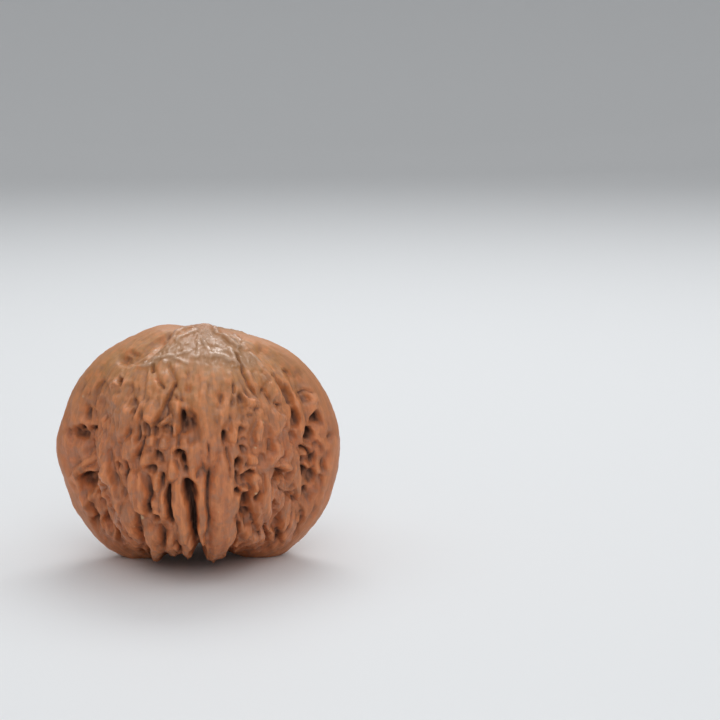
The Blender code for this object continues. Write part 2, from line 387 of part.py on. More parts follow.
def form_and_normals(ways):
    """Points of the plain form and the directions square to it, outwards."""
    helper = np.where(np.abs(ways[:, 2:]) < 0.8, [[0.0, 0.0, 1.0]], [[1.0, 0.0, 0.0]])
    sideways = unit(np.cross(ways, helper))
    upwards = np.cross(ways, sideways)
    step = 0.002
    along = plain_form(unit(ways + step * sideways)) - plain_form(unit(ways - step * sideways))
    across = plain_form(unit(ways + step * upwards)) - plain_form(unit(ways - step * upwards))
    normals = unit(np.cross(along, across))
    return plain_form(ways), normals * np.sign(dot(normals, ways))[:, None]


def noise_at(points, size, shift, tall=1.0):
    """Soft noise from about -1 to 1, its lumps size mm wide and tall times as high."""
    scaled = points / (size * np.array((1.0, 1.0, tall))) + shift
    return np.array([noise.noise(place) for place in scaled.tolist()])


def noise_vectors(points, size, shift):
    noise.seed_set(DRIFT_SEED)
    return np.array([noise.noise_vector(place) for place in (points / size + shift).tolist()])


def meridian_noise(ways, size, length, shift):
    """Noise drawn out from tip to foot, as the shell's own fibres are."""
    turn = np.arctan2(ways[:, 1], ways[:, 0])
    height = np.arcsin(np.clip(ways[:, 2], -1.0, 1.0))
    reach = MEAN_RADIUS / size
    places = np.stack([np.cos(turn) * reach, np.sin(turn) * reach, height * MEAN_RADIUS / length], 1)
    return np.array([noise.noise(place) for place in (places + shift).tolist()])


def cell_walls(points, size, tall, shift):
    """Gap to the wall between two cells, and a fixed chance from 0 to 1 for each cell."""
    places = (points / (size * np.array((1.0, 1.0, tall))) + shift).tolist()
    found = [noise.voronoi(place) for place in places]
    gap = np.array([distances[1] - distances[0] for distances, _ in found])
    chance = np.array([noise.cell(seeds[0] * 9.7) for _, seeds in found])
    return gap, chance


def seen_from_front(points):
    """Across and up in the seam's plane, where the photo's eye sees each point or its twin on the front."""
    depth = -np.abs(points[:, 1])
    share = PHOTO_EYE[1] / (PHOTO_EYE[1] - depth)
    across = PHOTO_EYE[0] + (points[:, 0] - PHOTO_EYE[0]) * share
    return across, PHOTO_EYE[2] + (points[:, 2] - PHOTO_EYE[2]) * share


def from_stroke(across, up, stroke):
    """How many half widths off a stroke's line each place lies, and how far along it, from 0 to 1."""
    line = np.array(stroke)
    legs = line[1:] - line[:-1]
    lengths = np.hypot(legs[:, 0], legs[:, 1])
    nearest = np.full(len(across), np.inf)
    share = np.zeros(len(across))
    passed = 0.0
    for start, leg, length in zip(line, legs, lengths):
        part = ((across - start[0]) * leg[0] + (up - start[1]) * leg[1]) / length**2
        part = np.clip(part, 0.0, 1.0)
        gap = np.hypot(across - start[0] - part * leg[0], up - start[1] - part * leg[1])
        gap /= start[2] + part * leg[2]
        share = np.where(gap < nearest, (passed + part * length) / lengths.sum(), share)
        nearest = np.minimum(gap, nearest)
        passed += length
    return nearest, share


def rounded(gap):
    return np.exp(-(gap**2))


def flat_topped(gap):
    """1 on a level top, then down a straight side."""
    return 0.75 * np.clip(1.5 - gap, 0.0, 1.0) + 0.25 * np.exp(-(gap**2))


def sharp_edged(gap):
    """1 in the middle, with straight sides that meet the ground in an edge."""
    return np.clip(1.15 - 0.8 * gap, 0.0, 1.0)


def tallest(across, up, strokes, profile, rise=0.0):
    """Height of the tallest of a set of strokes at each place, by a profile over their half widths.

    Each stroke grows from nothing over its first share, rise, and sinks again over half as much."""
    height = np.zeros(len(across))
    for stroke, tall in strokes:
        gap, share = from_stroke(across, up, stroke)
        made = tall * profile(gap)
        if rise:
            made *= smooth(-0.3 * rise, rise, share) * smooth(1.0 + 0.3 * rise, 1.0 - 0.5 * rise, share)
        height = np.maximum(height, made)
    return height


def hollow(sideways, upwards, ragged, steep):
    """Share of a pit's depth: steep under its upper edge, running out below."""
    below = smooth(0.2, -1.2, upwards)
    edge = 1.3 + 0.45 * below
    floor = 0.1 + 0.5 * steep - 0.5 * below
    share = np.clip((edge - np.hypot(sideways, upwards) - ragged) / (edge - floor), 0.0, 1.0)
    return share * share * (3.0 - 2.0 * share) * (0.62 + 0.45 * smooth(-1.2, 0.8, upwards))


def leaned(across, up, place, lean):
    """Offsets from a place, turned by a lean in degrees to the right."""
    angle = math.radians(lean)
    right, rise = across - place[0], up - place[1]
    sideways = right * math.cos(angle) - rise * math.sin(angle)
    return sideways, right * math.sin(angle) + rise * math.cos(angle)


class Shell:
    """The plain form along unit directions, with what the relief reads at each of its points."""

    def __init__(self, ways):
        self.ways = ways
        self.points, self.normals = form_and_normals(ways)
        self.drift = noise_vectors(self.points, 3.0, 7.3)
        self.flutter = noise_vectors(self.points, 1.3, 3.1)
        self.across, self.up = seen_from_front(self.points)
        self.bent_across = self.across + 0.35 * self.drift[:, 0] + 0.13 * self.flutter[:, 0]
        self.bent_up = self.up + 0.5 * self.drift[:, 1] + 0.18 * self.flutter[:, 1]
        self.bent_ways = ways + 0.035 * self.drift + 0.012 * self.flutter
        self.front = front_share(self.points, self.normals)
        to_eye = unit(PHOTO_EYE - self.points)
        self.outwards = unit(self.normals + FRONT_TURN * self.front[:, None] * to_eye)
        from_axis = np.hypot(self.points[:, 0], self.points[:, 2] - HEART[2])
        away = np.abs(self.points[:, 1]) + 1.2 * self.drift[:, 2]
        self.rim = smooth(3.3, 1.2, away) * smooth(12.0, 15.0, from_axis)
        self.high = smooth(24.5, 34.0, self.points[:, 2] + 2.0 * self.drift[:, 1])
        self.rough = (1 - 0.95 * self.rim) * (1 - 0.9 * self.high)
        self.ragged = 0.4 * noise_at(self.points, 1.3, 33.0, 2.2)
        self.ragged += 0.18 * noise_at(self.points, 0.65, 11.0, 2.2)


def front_share(points, normals):
    """1 where the photo shows the shell, fading to 0 where it turns away."""
    facing = dot(normals, unit(PHOTO_EYE - points)) + 0.4 * smooth(8.0, 2.0, points[:, 2])
    return smooth(0.05, 0.3, facing) * smooth(3.0, -1.0, points[:, 1])


def fibre_ribs(shell):
    """Ribs from tip to foot all round the nut, boldest below the middle, with slots between some."""
    fibre = meridian_noise(shell.bent_ways, 3.4, 11.0, 5.1)
    fibre += 0.4 * meridian_noise(shell.bent_ways, 1.7, 5.0, 1.7)
    low = smooth(24.0, 8.0, shell.points[:, 2])
    clear = smooth(0.5, 5.0, shell.points[:, 2])
    rib = np.minimum(np.sqrt(fibre**2 + 0.0025), 0.6) - 0.2
    slot = np.exp(-((fibre / 0.12) ** 2)) * smooth(-0.05, 0.3, noise_at(shell.points, 4.5, 21.0))
    return shell.rough * (0.9 + 0.85 * low) * (RIB_TALL * rib - SLOT_DEEP * slot) * (0.4 + 0.6 * clear)


def cell_net(shell):
    """A net of low walls with hollows between them."""
    gap, chance = cell_walls(shell.points + 0.6 * shell.drift + 0.15 * shell.flutter, 3.0, 1.7, 4.4)
    sunk = smooth(0.0, 0.5, gap) * smooth(0.0, 0.7, chance)
    return -NET_DEEP * sunk * shell.rough * (1 - 0.6 * shell.front)


def facets(shell):
    """Flat-faced unevenness everywhere: sharp creases, and sharp edges between them."""
    crease = np.abs(noise_at(shell.points + 0.3 * shell.flutter, 2.0, 61.0, 2.0)) - 0.2
    edge = 0.2 - np.abs(noise_at(shell.points + 0.3 * shell.flutter, 2.7, 71.0, 2.4))
    return (CREASE_DEEP * crease + EDGE_TALL * edge) * (0.15 + 0.85 * shell.rough)


def front_ribs(shell):
    """Height of the ribs placed by hand, and how far they smooth what lies under them."""
    height = tallest(shell.bent_across, shell.bent_up, RIBS, flat_topped, RIB_RISE)
    return height * shell.front, np.minimum(1.4 * height, 1.0) * shell.front


def front_grooves(shell):
    """Depth of the grooves and cracks placed by hand."""
    depth = tallest(shell.bent_across, shell.bent_up, GROOVES, sharp_edged, LINE_RISE)
    across, up = shell.across + 0.2 * shell.flutter[:, 0], shell.up + 0.2 * shell.flutter[:, 2]
    return np.maximum(depth, tallest(across, up, CRACKS, rounded, LINE_RISE)) * shell.front


def front_pits(shell):
    """Depth of the pits placed by hand, and the raised lip round them."""
    depth = np.zeros(len(shell.points))
    lip = np.zeros(len(shell.points))
    for across, up, half_width, half_height, lean, deep, steep in PITS:
        sideways, upwards = leaned(shell.bent_across, shell.bent_up, (across, up), lean)
        sideways, upwards = sideways / half_width, upwards / half_height
        depth = np.maximum(depth, deep * hollow(sideways, upwards, shell.ragged, steep))
        ring = (np.hypot(sideways, upwards) + shell.ragged - 1.6) / 0.5
        lip = np.maximum(lip, LIP_SHARE * min(deep, 2.0) * np.exp(-(ring**2)))
    seen = shell.front * (1 - 0.9 * shell.rim)
    return depth * seen, lip * seen * smooth(0.8, 0.0, depth)


def seeded_pits(shell):
    """Depth of the pits on the sides that the photo doesn't show, by a seeded draw."""
    draw = np.random.default_rng(PIT_SEED)
    turns = np.arange(PIT_COUNT) + 0.5
    rise = 1 - 2 * turns / PIT_COUNT
    angle = turns * math.pi * (3 - math.sqrt(5))
    level = np.sqrt(1 - rise**2)
    ways = np.stack([level * np.cos(angle), level * np.sin(angle), rise], 1)
    centres, normals = form_and_normals(unit(ways + draw.normal(0, 0.055, ways.shape)))
    half_widths = 1.05 * draw.uniform(0.7, 1.2, PIT_COUNT) ** 2
    half_heights = half_widths * draw.uniform(1.4, 3.2, PIT_COUNT)
    depths = half_widths * draw.uniform(1.05, 1.95, PIT_COUNT)
    hidden = front_share(centres, normals) < 0.4
    kept = hidden & (np.abs(centres[:, 1]) > 2.8) & (centres[:, 2] < 34.5)
    bent = shell.points + 0.5 * shell.drift + 0.2 * shell.flutter
    depth = np.zeros(len(bent))
    for pit in np.flatnonzero(kept):
        offset = bent - centres[pit]
        near = np.flatnonzero(dot(offset, offset) < (2.2 * half_heights[pit]) ** 2)
        rising = unit(np.array((0.0, 0.0, 1.0)) - normals[pit, 2] * normals[pit])
        sideways = offset[near] @ np.cross(rising, normals[pit]) / half_widths[pit]
        upwards = offset[near] @ rising / half_heights[pit]
        made = depths[pit] * hollow(sideways, upwards, shell.ragged[near], 0.7)
        depth[near] = np.maximum(depth[near], made)
    return depth * (1 - shell.front) * (1 - 0.9 * shell.rim) * (1 - smooth(29.0, 36.0, shell.points[:, 2]))


def folds(shell, strokes, strength):
    """Height of thin raised lines, worn away here and there."""
    height = tallest(shell.bent_across, shell.bent_up, strokes, rounded, LINE_RISE)
    worn = np.clip(0.85 + 0.5 * noise_at(shell.points, 2.2, 51.0), 0.3, 1.2)
    return height * worn * strength


def relief(shell):
    """Height of the shell over its plain form, in mm outwards."""
    ribs, calm = front_ribs(shell)
    ground = (fibre_ribs(shell) + cell_net(shell)) * (1 - 0.7 * calm)
    bed = BED_DEEP * shell.front * shell.rough * (1 - calm) * smooth(33.0, 22.0, shell.up)
    dips = shell.front * tallest(shell.across, shell.up, SCOOPS, rounded)
    shown, lip = front_pits(shell)
    pits = np.maximum(shown, front_grooves(shell)) + seeded_pits(shell)
    height = (ground + ribs - bed - dips) * (1 - 0.6 * smooth(0.3, 1.2, pits)) + lip - pits
    height += facets(shell) + folds(shell, VEINS, shell.front * (1 - 0.9 * shell.rim))
    return height + folds(shell, CAP_FOLDS, smooth(1.0, -1.5, shell.points[:, 1]))


def worn_into(shell, height):
    """Points of the finished relief: deep places also reach up under the edge above them."""
    depth = np.maximum(-height, 0.0)
    rising = np.array((0.0, 0.0, 1.0)) - shell.normals * shell.normals[:, 2:]
    reach = UNDERCUT * depth * smooth(0.5, 1.5, depth)
    return shell.points + shell.outwards * height[:, None] + rising * reach[:, None]


def clear_scene():
    for thing in list(bpy.data.objects):
        bpy.data.objects.remove(thing)


def round_cube(cuts):
    """A mesh of even squares over a ball, and the unit direction of each of its points."""
    ball = bmesh.new()
    bmesh.ops.create_cube(ball, size=2.0)
    bmesh.ops.subdivide_edges(ball, edges=ball.edges[:], cuts=cuts, use_grid_fill=True)
    corners = np.array([corner.co[:] for corner in ball.verts])
    return ball, unit(np.tan(corners * math.pi / 4))


def level_foot(shell_mesh):
    """Cuts the mesh off at the table and closes each cut with a flat face."""
    everything = shell_mesh.verts[:] + shell_mesh.edges[:] + shell_mesh.faces[:]
    bmesh.ops.bisect_plane(
        shell_mesh, geom=everything, dist=1e-6, plane_co=(0, 0, 0), plane_no=(0, 0, 1), clear_inner=True
    )
    bmesh.ops.holes_fill(shell_mesh, edges=[edge for edge in shell_mesh.edges if edge.is_boundary])


def centred(points):
    """The points with the middle of their box over the origin."""
    middle = (points.min(axis=0) + points.max(axis=0)) / 2
    return points - np.array((middle[0], middle[1], 0.0))


def shell_material():
    material = bpy.data.materials.new("walnut_shell")
    material.use_nodes = True
    surface = material.node_tree.nodes["Principled BSDF"]
    surface.inputs["Base Color"].default_value = SHELL_COLOUR
    surface.inputs["Roughness"].default_value = SHELL_ROUGHNESS
    surface.inputs["Metallic"].default_value = 0.0
    return material


def make_walnut():
    """The whole shell as one closed faceted solid."""
    ball, ways = round_cube(SQUARES_ACROSS - 1)
    shell = Shell(ways)
    points = centred(worn_into(shell, relief(shell))) * MM
    for corner, point in zip(ball.verts, points):
        corner.co = point
    mesh = bpy.data.meshes.new("walnut")
    ball.to_mesh(mesh)
    ball.free()
    walnut = bpy.data.objects.new("walnut", mesh)
    bpy.context.collection.objects.link(walnut)
    facets = walnut.modifiers.new("facets", "DECIMATE")
    facets.ratio = FACETS / (12.0 * SQUARES_ACROSS**2)
    evaluated = walnut.evaluated_get(bpy.context.evaluated_depsgraph_get())
    faceted = bmesh.new()
    faceted.from_mesh(evaluated.to_mesh())
    evaluated.to_mesh_clear()
    walnut.modifiers.clear()
    level_foot(faceted)
    bmesh.ops.triangulate(faceted, faces=faceted.faces[:])
    faceted.to_mesh(mesh)
    faceted.free()
    mesh.materials.append(shell_material())
    return walnut


clear_scene()
make_walnut()
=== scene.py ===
import math

import bmesh
import bpy
import numpy as np
from mathutils import Matrix, Vector, noise


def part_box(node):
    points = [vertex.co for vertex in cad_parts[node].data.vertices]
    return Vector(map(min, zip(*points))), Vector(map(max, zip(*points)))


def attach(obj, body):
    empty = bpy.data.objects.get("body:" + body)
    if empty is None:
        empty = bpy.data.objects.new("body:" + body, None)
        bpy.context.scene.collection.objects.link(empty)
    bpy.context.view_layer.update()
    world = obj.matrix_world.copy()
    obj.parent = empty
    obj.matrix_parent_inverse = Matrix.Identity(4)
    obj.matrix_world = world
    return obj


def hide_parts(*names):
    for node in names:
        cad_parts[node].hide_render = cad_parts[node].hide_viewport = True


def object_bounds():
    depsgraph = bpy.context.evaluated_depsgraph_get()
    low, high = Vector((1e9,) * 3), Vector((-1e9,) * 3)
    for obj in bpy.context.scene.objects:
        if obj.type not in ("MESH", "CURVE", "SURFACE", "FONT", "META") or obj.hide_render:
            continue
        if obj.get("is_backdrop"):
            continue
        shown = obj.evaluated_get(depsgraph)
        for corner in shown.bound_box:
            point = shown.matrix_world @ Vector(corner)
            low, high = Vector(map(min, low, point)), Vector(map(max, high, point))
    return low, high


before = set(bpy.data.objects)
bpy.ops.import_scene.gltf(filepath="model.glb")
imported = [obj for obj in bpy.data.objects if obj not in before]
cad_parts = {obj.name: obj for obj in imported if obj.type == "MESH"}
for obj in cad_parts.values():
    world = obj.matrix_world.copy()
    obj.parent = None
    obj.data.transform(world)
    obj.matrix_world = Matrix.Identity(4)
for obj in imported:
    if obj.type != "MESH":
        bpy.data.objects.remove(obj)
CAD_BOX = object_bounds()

bl_info = {
    "name": "Walnut",
    "version": (1, 0, 0),
    "blender": (4, 5, 0),
    "location": "3D View > Sidebar > Walnut",
    "description": "A whole walnut in its shell, with its ribs, pits and folds, on a plain stage",
    "category": "Add Mesh",
}

MM = 0.001
# The nut's own sizes, in millimetres, as in the frame's solid.
HEART = np.array((0.0, 0.0, 18.8))
BELLY_ACROSS = 17.2
BELLY_DEEP = 19.8
BELLY_UP = 18.3
BELLY_DOWN = 17.4
BELLY_SQUARE = 2.5
MEAN_RADIUS = 20.0
# Crest of the seam from the heart, every 15 degrees from +X towards the tip and on round.
SEAM_RADII = (22.8, 22.3, 21.7, 20.9, 19.6, 18.2, 18.2, 19.8, 20.1, 20.9, 21.5, 21.9,
              22.8, 22.5, 22.9, 23.0, 22.3, 19.6, 18.0, 19.6, 22.4, 23.0, 23.1, 22.8)
SEAM_WIDE = 4.0
VALLEY_AWAY = 6.6
VALLEY_WIDE = 3.0
VALLEY_DEEP = 1.1
TIP_ACROSS = 1.8
TIP_TALL = 1.3
TIP_WIDE = 2.1
NAVEL_DEEP = 2.2
NAVEL_WIDE = 4.0
HEEL_PLACE = (1.0, 7.5)
HEEL_DEEP = 1.6
HEEL_WIDE = 3.4
RIB_TALL = 1.0
RIB_RISE = 0.4
LINE_RISE = 0.12
BED_DEEP = 0.5
CREASE_DEEP = 0.5
EDGE_TALL = 0.4
SLOT_DEEP = 1.0
NET_DEEP = 0.7
LIP_SHARE = 0.13
UNDERCUT = 0.15
# How far the front's relief turns from the surface's own direction towards the eye of the photo.
FRONT_TURN = 0.9
DRIFT_SEED = 4
PIT_COUNT = 300
PIT_SEED = 11
# The eye of the photo from the foot of the nut: the front's features are placed as it sees them.
PHOTO_EYE = np.array((26.1, -321.2, 86.2))
# What the fine shell adds to the solid's form, in millimetres.
RIBBON_WIDE = 1.5
RIBBON_LONG = 8.0
RIBBON_TALL = 0.34
THREAD_WIDE = 0.8
THREAD_LONG = 3.5
THREAD_TALL = 0.1
CRUMPLE_WIDE = 1.2
CRUMPLE_TALL = 0.35
WRINKLE_WIDE = 0.6
WRINKLE_TALL = 0.16
SKIN_WIDE = 0.9
SKIN_LONG = 4.0
SKIN_TALL = 0.22
CAVITY_PASSES = (4, 24)
# Pale specks painted as highlights on the tips of some ribs: across, up and half width as seen from
# PHOTO_EYE.
GLINT_SPECKS = ((-9.5, 6.4, 0.45), (9.1, 10.2, 0.25), (9.3, 17.7, 0.2), (10.4, 21.9, 0.2))
# Heights in metres between which the brown turns tan.
TAN_HEIGHTS = (0.02, 0.035)
# Heights in metres between which the grain fades towards the tip.
CALM_HEIGHTS = (0.028, 0.036)

# Noises of the colours: scales per metre, and stretches per millimetre round and along the fibres.
PATCH_SCALE = 160.0
BLOTCH_SCALE = 480.0
MOTTLE_SCALE = 800.0
FLECK_SCALE = 380.0
GRIT_SCALE = 2600.0
BAND_STRETCH = (0.7, 0.7, 0.1)
STREAK_STRETCH = (1.3, 1.3, 0.22)
THREAD_STRETCH = (4.5, 4.5, 0.6)
WRINKLE_STRETCH = (2.2, 2.2, 0.45)
# Heights in metres of the finest bumps, and the strength of the grit.
WRINKLE_BUMP = 0.00035
GRIT_BUMP = 0.00005
GRIT_STRENGTH = 0.35

# The stage, in metres, and the angles of the photo's view.
NUT_MIDDLE = (0.0, 0.0, 0.019)
FLOOR_HALF_WIDTH = 1.6
FLOOR_SQUARES = 48
# The floor is level round the nut and rises into a backdrop between these distances.
FLOOR_RISES = (0.8, 1.6)
BACKDROP_TALL = 0.6
FLOOR_ROUGHNESS = 0.6
TOP_LIGHT_PLACE = (0.04, 0.05, 0.5)
TOP_LIGHT_SIZE = (1.0, 1.0)
BACK_LIGHT_PLACE = (0.05, 0.34, 0.46)
BACK_LIGHT_SIZE = (0.35, 0.2)
FRONT_LIGHT_PLACE = (0.1, -0.6, 0.45)
FRONT_LIGHT_SIZE = (0.5, 0.3)
# How far the photo's eye moves, in millimetres, when the finished nut is centred on the origin.
CENTRED_BY = np.array((0.02, 0.66, -0.3))
VIEW_ANGLE = math.radians(20.0)
VIEW_DROP = math.radians(9.54)
VIEW_ROLL = math.radians(0.47)

# Pits of the front: across, up, half width, half height, lean in degrees, depth, steepness of the wall.
PITS = (
    (-1.2, 21.6, 1.35, 2.4, 0, 2.45, 0.64),
    (-2.2, 22.6, 0.5, 1.6, 2, 2.3, 0.68),
    (-2.7, 17.0, 0.9, 0.65, -20, 2.0, 0.77),
    (-2.3, 15.9, 0.55, 0.95, 0, 2.2, 0.77),
    (-2.1, 14.6, 0.5, 0.65, 0, 1.05, 0.51),
    (-1.5, 10.4, 1.05, 2.25, 0, 2.85, 0.77),
    (-6.4, 16.4, 0.5, 1.05, -12, 1.7, 0.77),
    (-7.8, 14.4, 0.65, 0.65, 30, 1.4, 0.68),
    (-6.0, 12.6, 0.35, 0.95, 0, 1.4, 0.68),
    (-7.0, 6.7, 0.75, 0.6, 20, 1.7, 0.77),
    (-8.3, 21.0, 0.5, 1.3, 4, 1.4, 0.68),
    (-6.8, 20.7, 0.5, 0.8, 0, 1.35, 0.68),
    (-5.1, 21.0, 0.65, 0.8, 0, 1.15, 0.51),
    (4.2, 19.4, 0.4, 1.05, 5, 1.5, 0.68),
    (7.2, 21.0, 0.5, 0.65, 0, 1.15, 0.59),
    (7.6, 19.2, 0.45, 0.75, -10, 0.95, 0.42),
    (7.3, 17.4, 0.5, 0.5, 0, 1.15, 0.59),
    (6.2, 15.1, 0.65, 1.05, 4, 2.2, 0.77),
    (6.1, 13.2, 0.4, 1.15, 0, 1.15, 0.51),
    (8.2, 13.6, 0.75, 0.6, -15, 1.9, 0.77),
    (7.3, 13.0, 0.5, 0.6, 0, 1.5, 0.68),
    (6.0, 10.6, 0.6, 0.7, 0, 1.25, 0.51),
    (7.4, 8.5, 0.85, 1.55, -3, 2.85, 0.77),
    (7.5, 6.5, 0.85, 1.6, 0, 2.3, 0.59),
    (10.2, 15.8, 0.75, 0.95, 10, 0.95, 0.34),
    (13.4, 13.3, 0.95, 0.9, -20, 2.55, 0.72),
    (14.0, 11.3, 0.95, 1.3, -10, 1.15, 0.34),
    (12.4, 13.4, 0.5, 0.5, 0, 1.25, 0.59),
    (11.9, 8.0, 0.75, 1.05, -8, 1.9, 0.59),
    (12.1, 6.3, 0.8, 1.45, -3, 1.6, 0.59),
    (12.3, 3.5, 0.75, 1.6, -3, 1.15, 0.34),
    (9.8, 24.1, 0.7, 0.65, -30, 0.85, 0.34),
    (8.4, 23.2, 0.75, 0.35, 0, 0.5, 0.34),
    (6.7, 25.3, 0.65, 1.45, -12, 1.05, 0.51),
    (17.8, 19.8, 0.9, 1.3, -14, 3.05, 0.68),
    (19.1, 17.7, 0.8, 1.15, -10, 1.7, 0.51),
    (16.5, 15.7, 0.65, 0.5, -30, 2.1, 0.72),
    (19.0, 22.4, 0.95, 1.3, 0, 2.2, 0.55),
    (17.2, 13.4, 0.9, 1.15, -10, 3.05, 0.68),
    (18.2, 12.2, 1.35, 1.75, 15, 2.65, 0.59),
    (17.2, 9.9, 0.9, 1.6, 12, 2.3, 0.59),
    (-19.1, 20.1, 1.55, 1.55, 10, 2.75, 0.59),
    (-18.8, 21.3, 0.75, 0.65, 0, 2.85, 0.68),
    (-16.8, 21.1, 0.75, 0.45, -8, 1.8, 0.77),
    (-17.6, 12.2, 1.6, 1.55, -5, 3.25, 0.64),
    (-18.4, 12.8, 0.9, 0.95, 20, 3.8, 0.72),
    (-16.6, 13.2, 0.95, 0.55, -10, 2.45, 0.68),
    (-17.7, 18.1, 0.75, 1.15, 20, 1.4, 0.51),
    (-16.0, 15.2, 0.55, 0.95, -10, 1.15, 0.51),
    (-12.9, 14.8, 0.5, 0.75, 0, 1.15, 0.59),
    (-12.3, 10.8, 0.7, 0.75, 0, 1.15, 0.51),
    (-14.8, 5.9, 0.8, 1.3, -8, 2.3, 0.59),
    (-13.8, 7.7, 0.55, 0.8, -30, 1.5, 0.51),
    (-13.1, 3.4, 0.6, 1.05, -6, 2.3, 0.72),
    (-0.4, 0.8, 1.15, 1.3, 0, 3.05, 0.68),
    (4.9, 1.4, 0.65, 0.95, 4, 2.1, 0.68),
    (14.1, 21.5, 0.45, 0.95, -5, 1.15, 0.51),
    (15.3, 22.1, 0.45, 1.45, -3, 1.35, 0.59),
    (-4.3, 20.6, 0.3, 0.95, 0, 1.15, 0.59),
    (-12.3, 28.7, 0.5, 0.65, 0, 1.25, 0.68),
    (-15.0, 27.9, 0.8, 0.95, 20, 0.75, 0.42),
    (-1.5, 27.2, 0.5, 0.8, 0, 0.35, 0.26),
    (-15.3, 11.7, 0.65, 0.5, -40, 0.85, 0.51),
    (-16.1, 8.9, 0.5, 0.95, 20, 0.75, 0.42),
    (-13.7, 18.9, 0.55, 0.95, 0, 0.75, 0.42),
    (-15.3, 25.5, 0.8, 1.15, 10, 0.55, 0.34),
    (16.5, 29.4, 0.8, 1.45, -22, 0.5, 0.26),
    (14.9, 29.0, 0.4, 1.45, -20, 0.65, 0.42),
    (15.2, 23.0, 0.5, 1.3, 0, 1.7, 0.64),
    (15.9, 6.8, 0.55, 1.45, -15, 1.15, 0.42),
    (-9.9, 33.4, 0.8, 0.55, 10, 0.85, 0.51),
    (15.2, 19.7, 0.4, 1.15, 0, 0.95, 0.51),
    (-5.1, 10.1, 0.35, 0.65, 0, 1.15, 0.68),
    (5.7, 25.3, 0.35, 1.3, 0, 0.5, 0.34),
)

# Strokes of the front, each a line of (across, up, half width) points and a height or a depth.

# Broad shallow hollows.
SCOOPS = (
    (((-4.4, 35.9, 0.65), (-7.0, 34.5, 1.13), (-9.3, 33.2, 1.29), (-11.6, 32.3, 0.97)), 1.3),
    (((10.5, 33.7, 0.97), (13.0, 32.1, 1.29), (15.4, 29.1, 1.29), (16.9, 25.9, 1.13)), 1.2),
    (((-6.6, 33.8, 0.81), (-3.4, 34.1, 0.81)), 0.35),
    (((4.1, 34.6, 0.65), (5.7, 33.7, 0.65)), 0.3),
    (((-18.0, 19.6, 1.45), (-17.1, 16.3, 1.45)), 1.0),
    (((-16.7, 9.7, 1.45), (-15.2, 6.1, 1.61)), 1.0),
    (((18.3, 19.3, 1.29), (18.2, 14.4, 1.45), (17.2, 9.4, 1.29)), 1.0),
    (((-15.9, 26.9, 0.97), (-15.6, 23.7, 1.13)), 0.5),
)

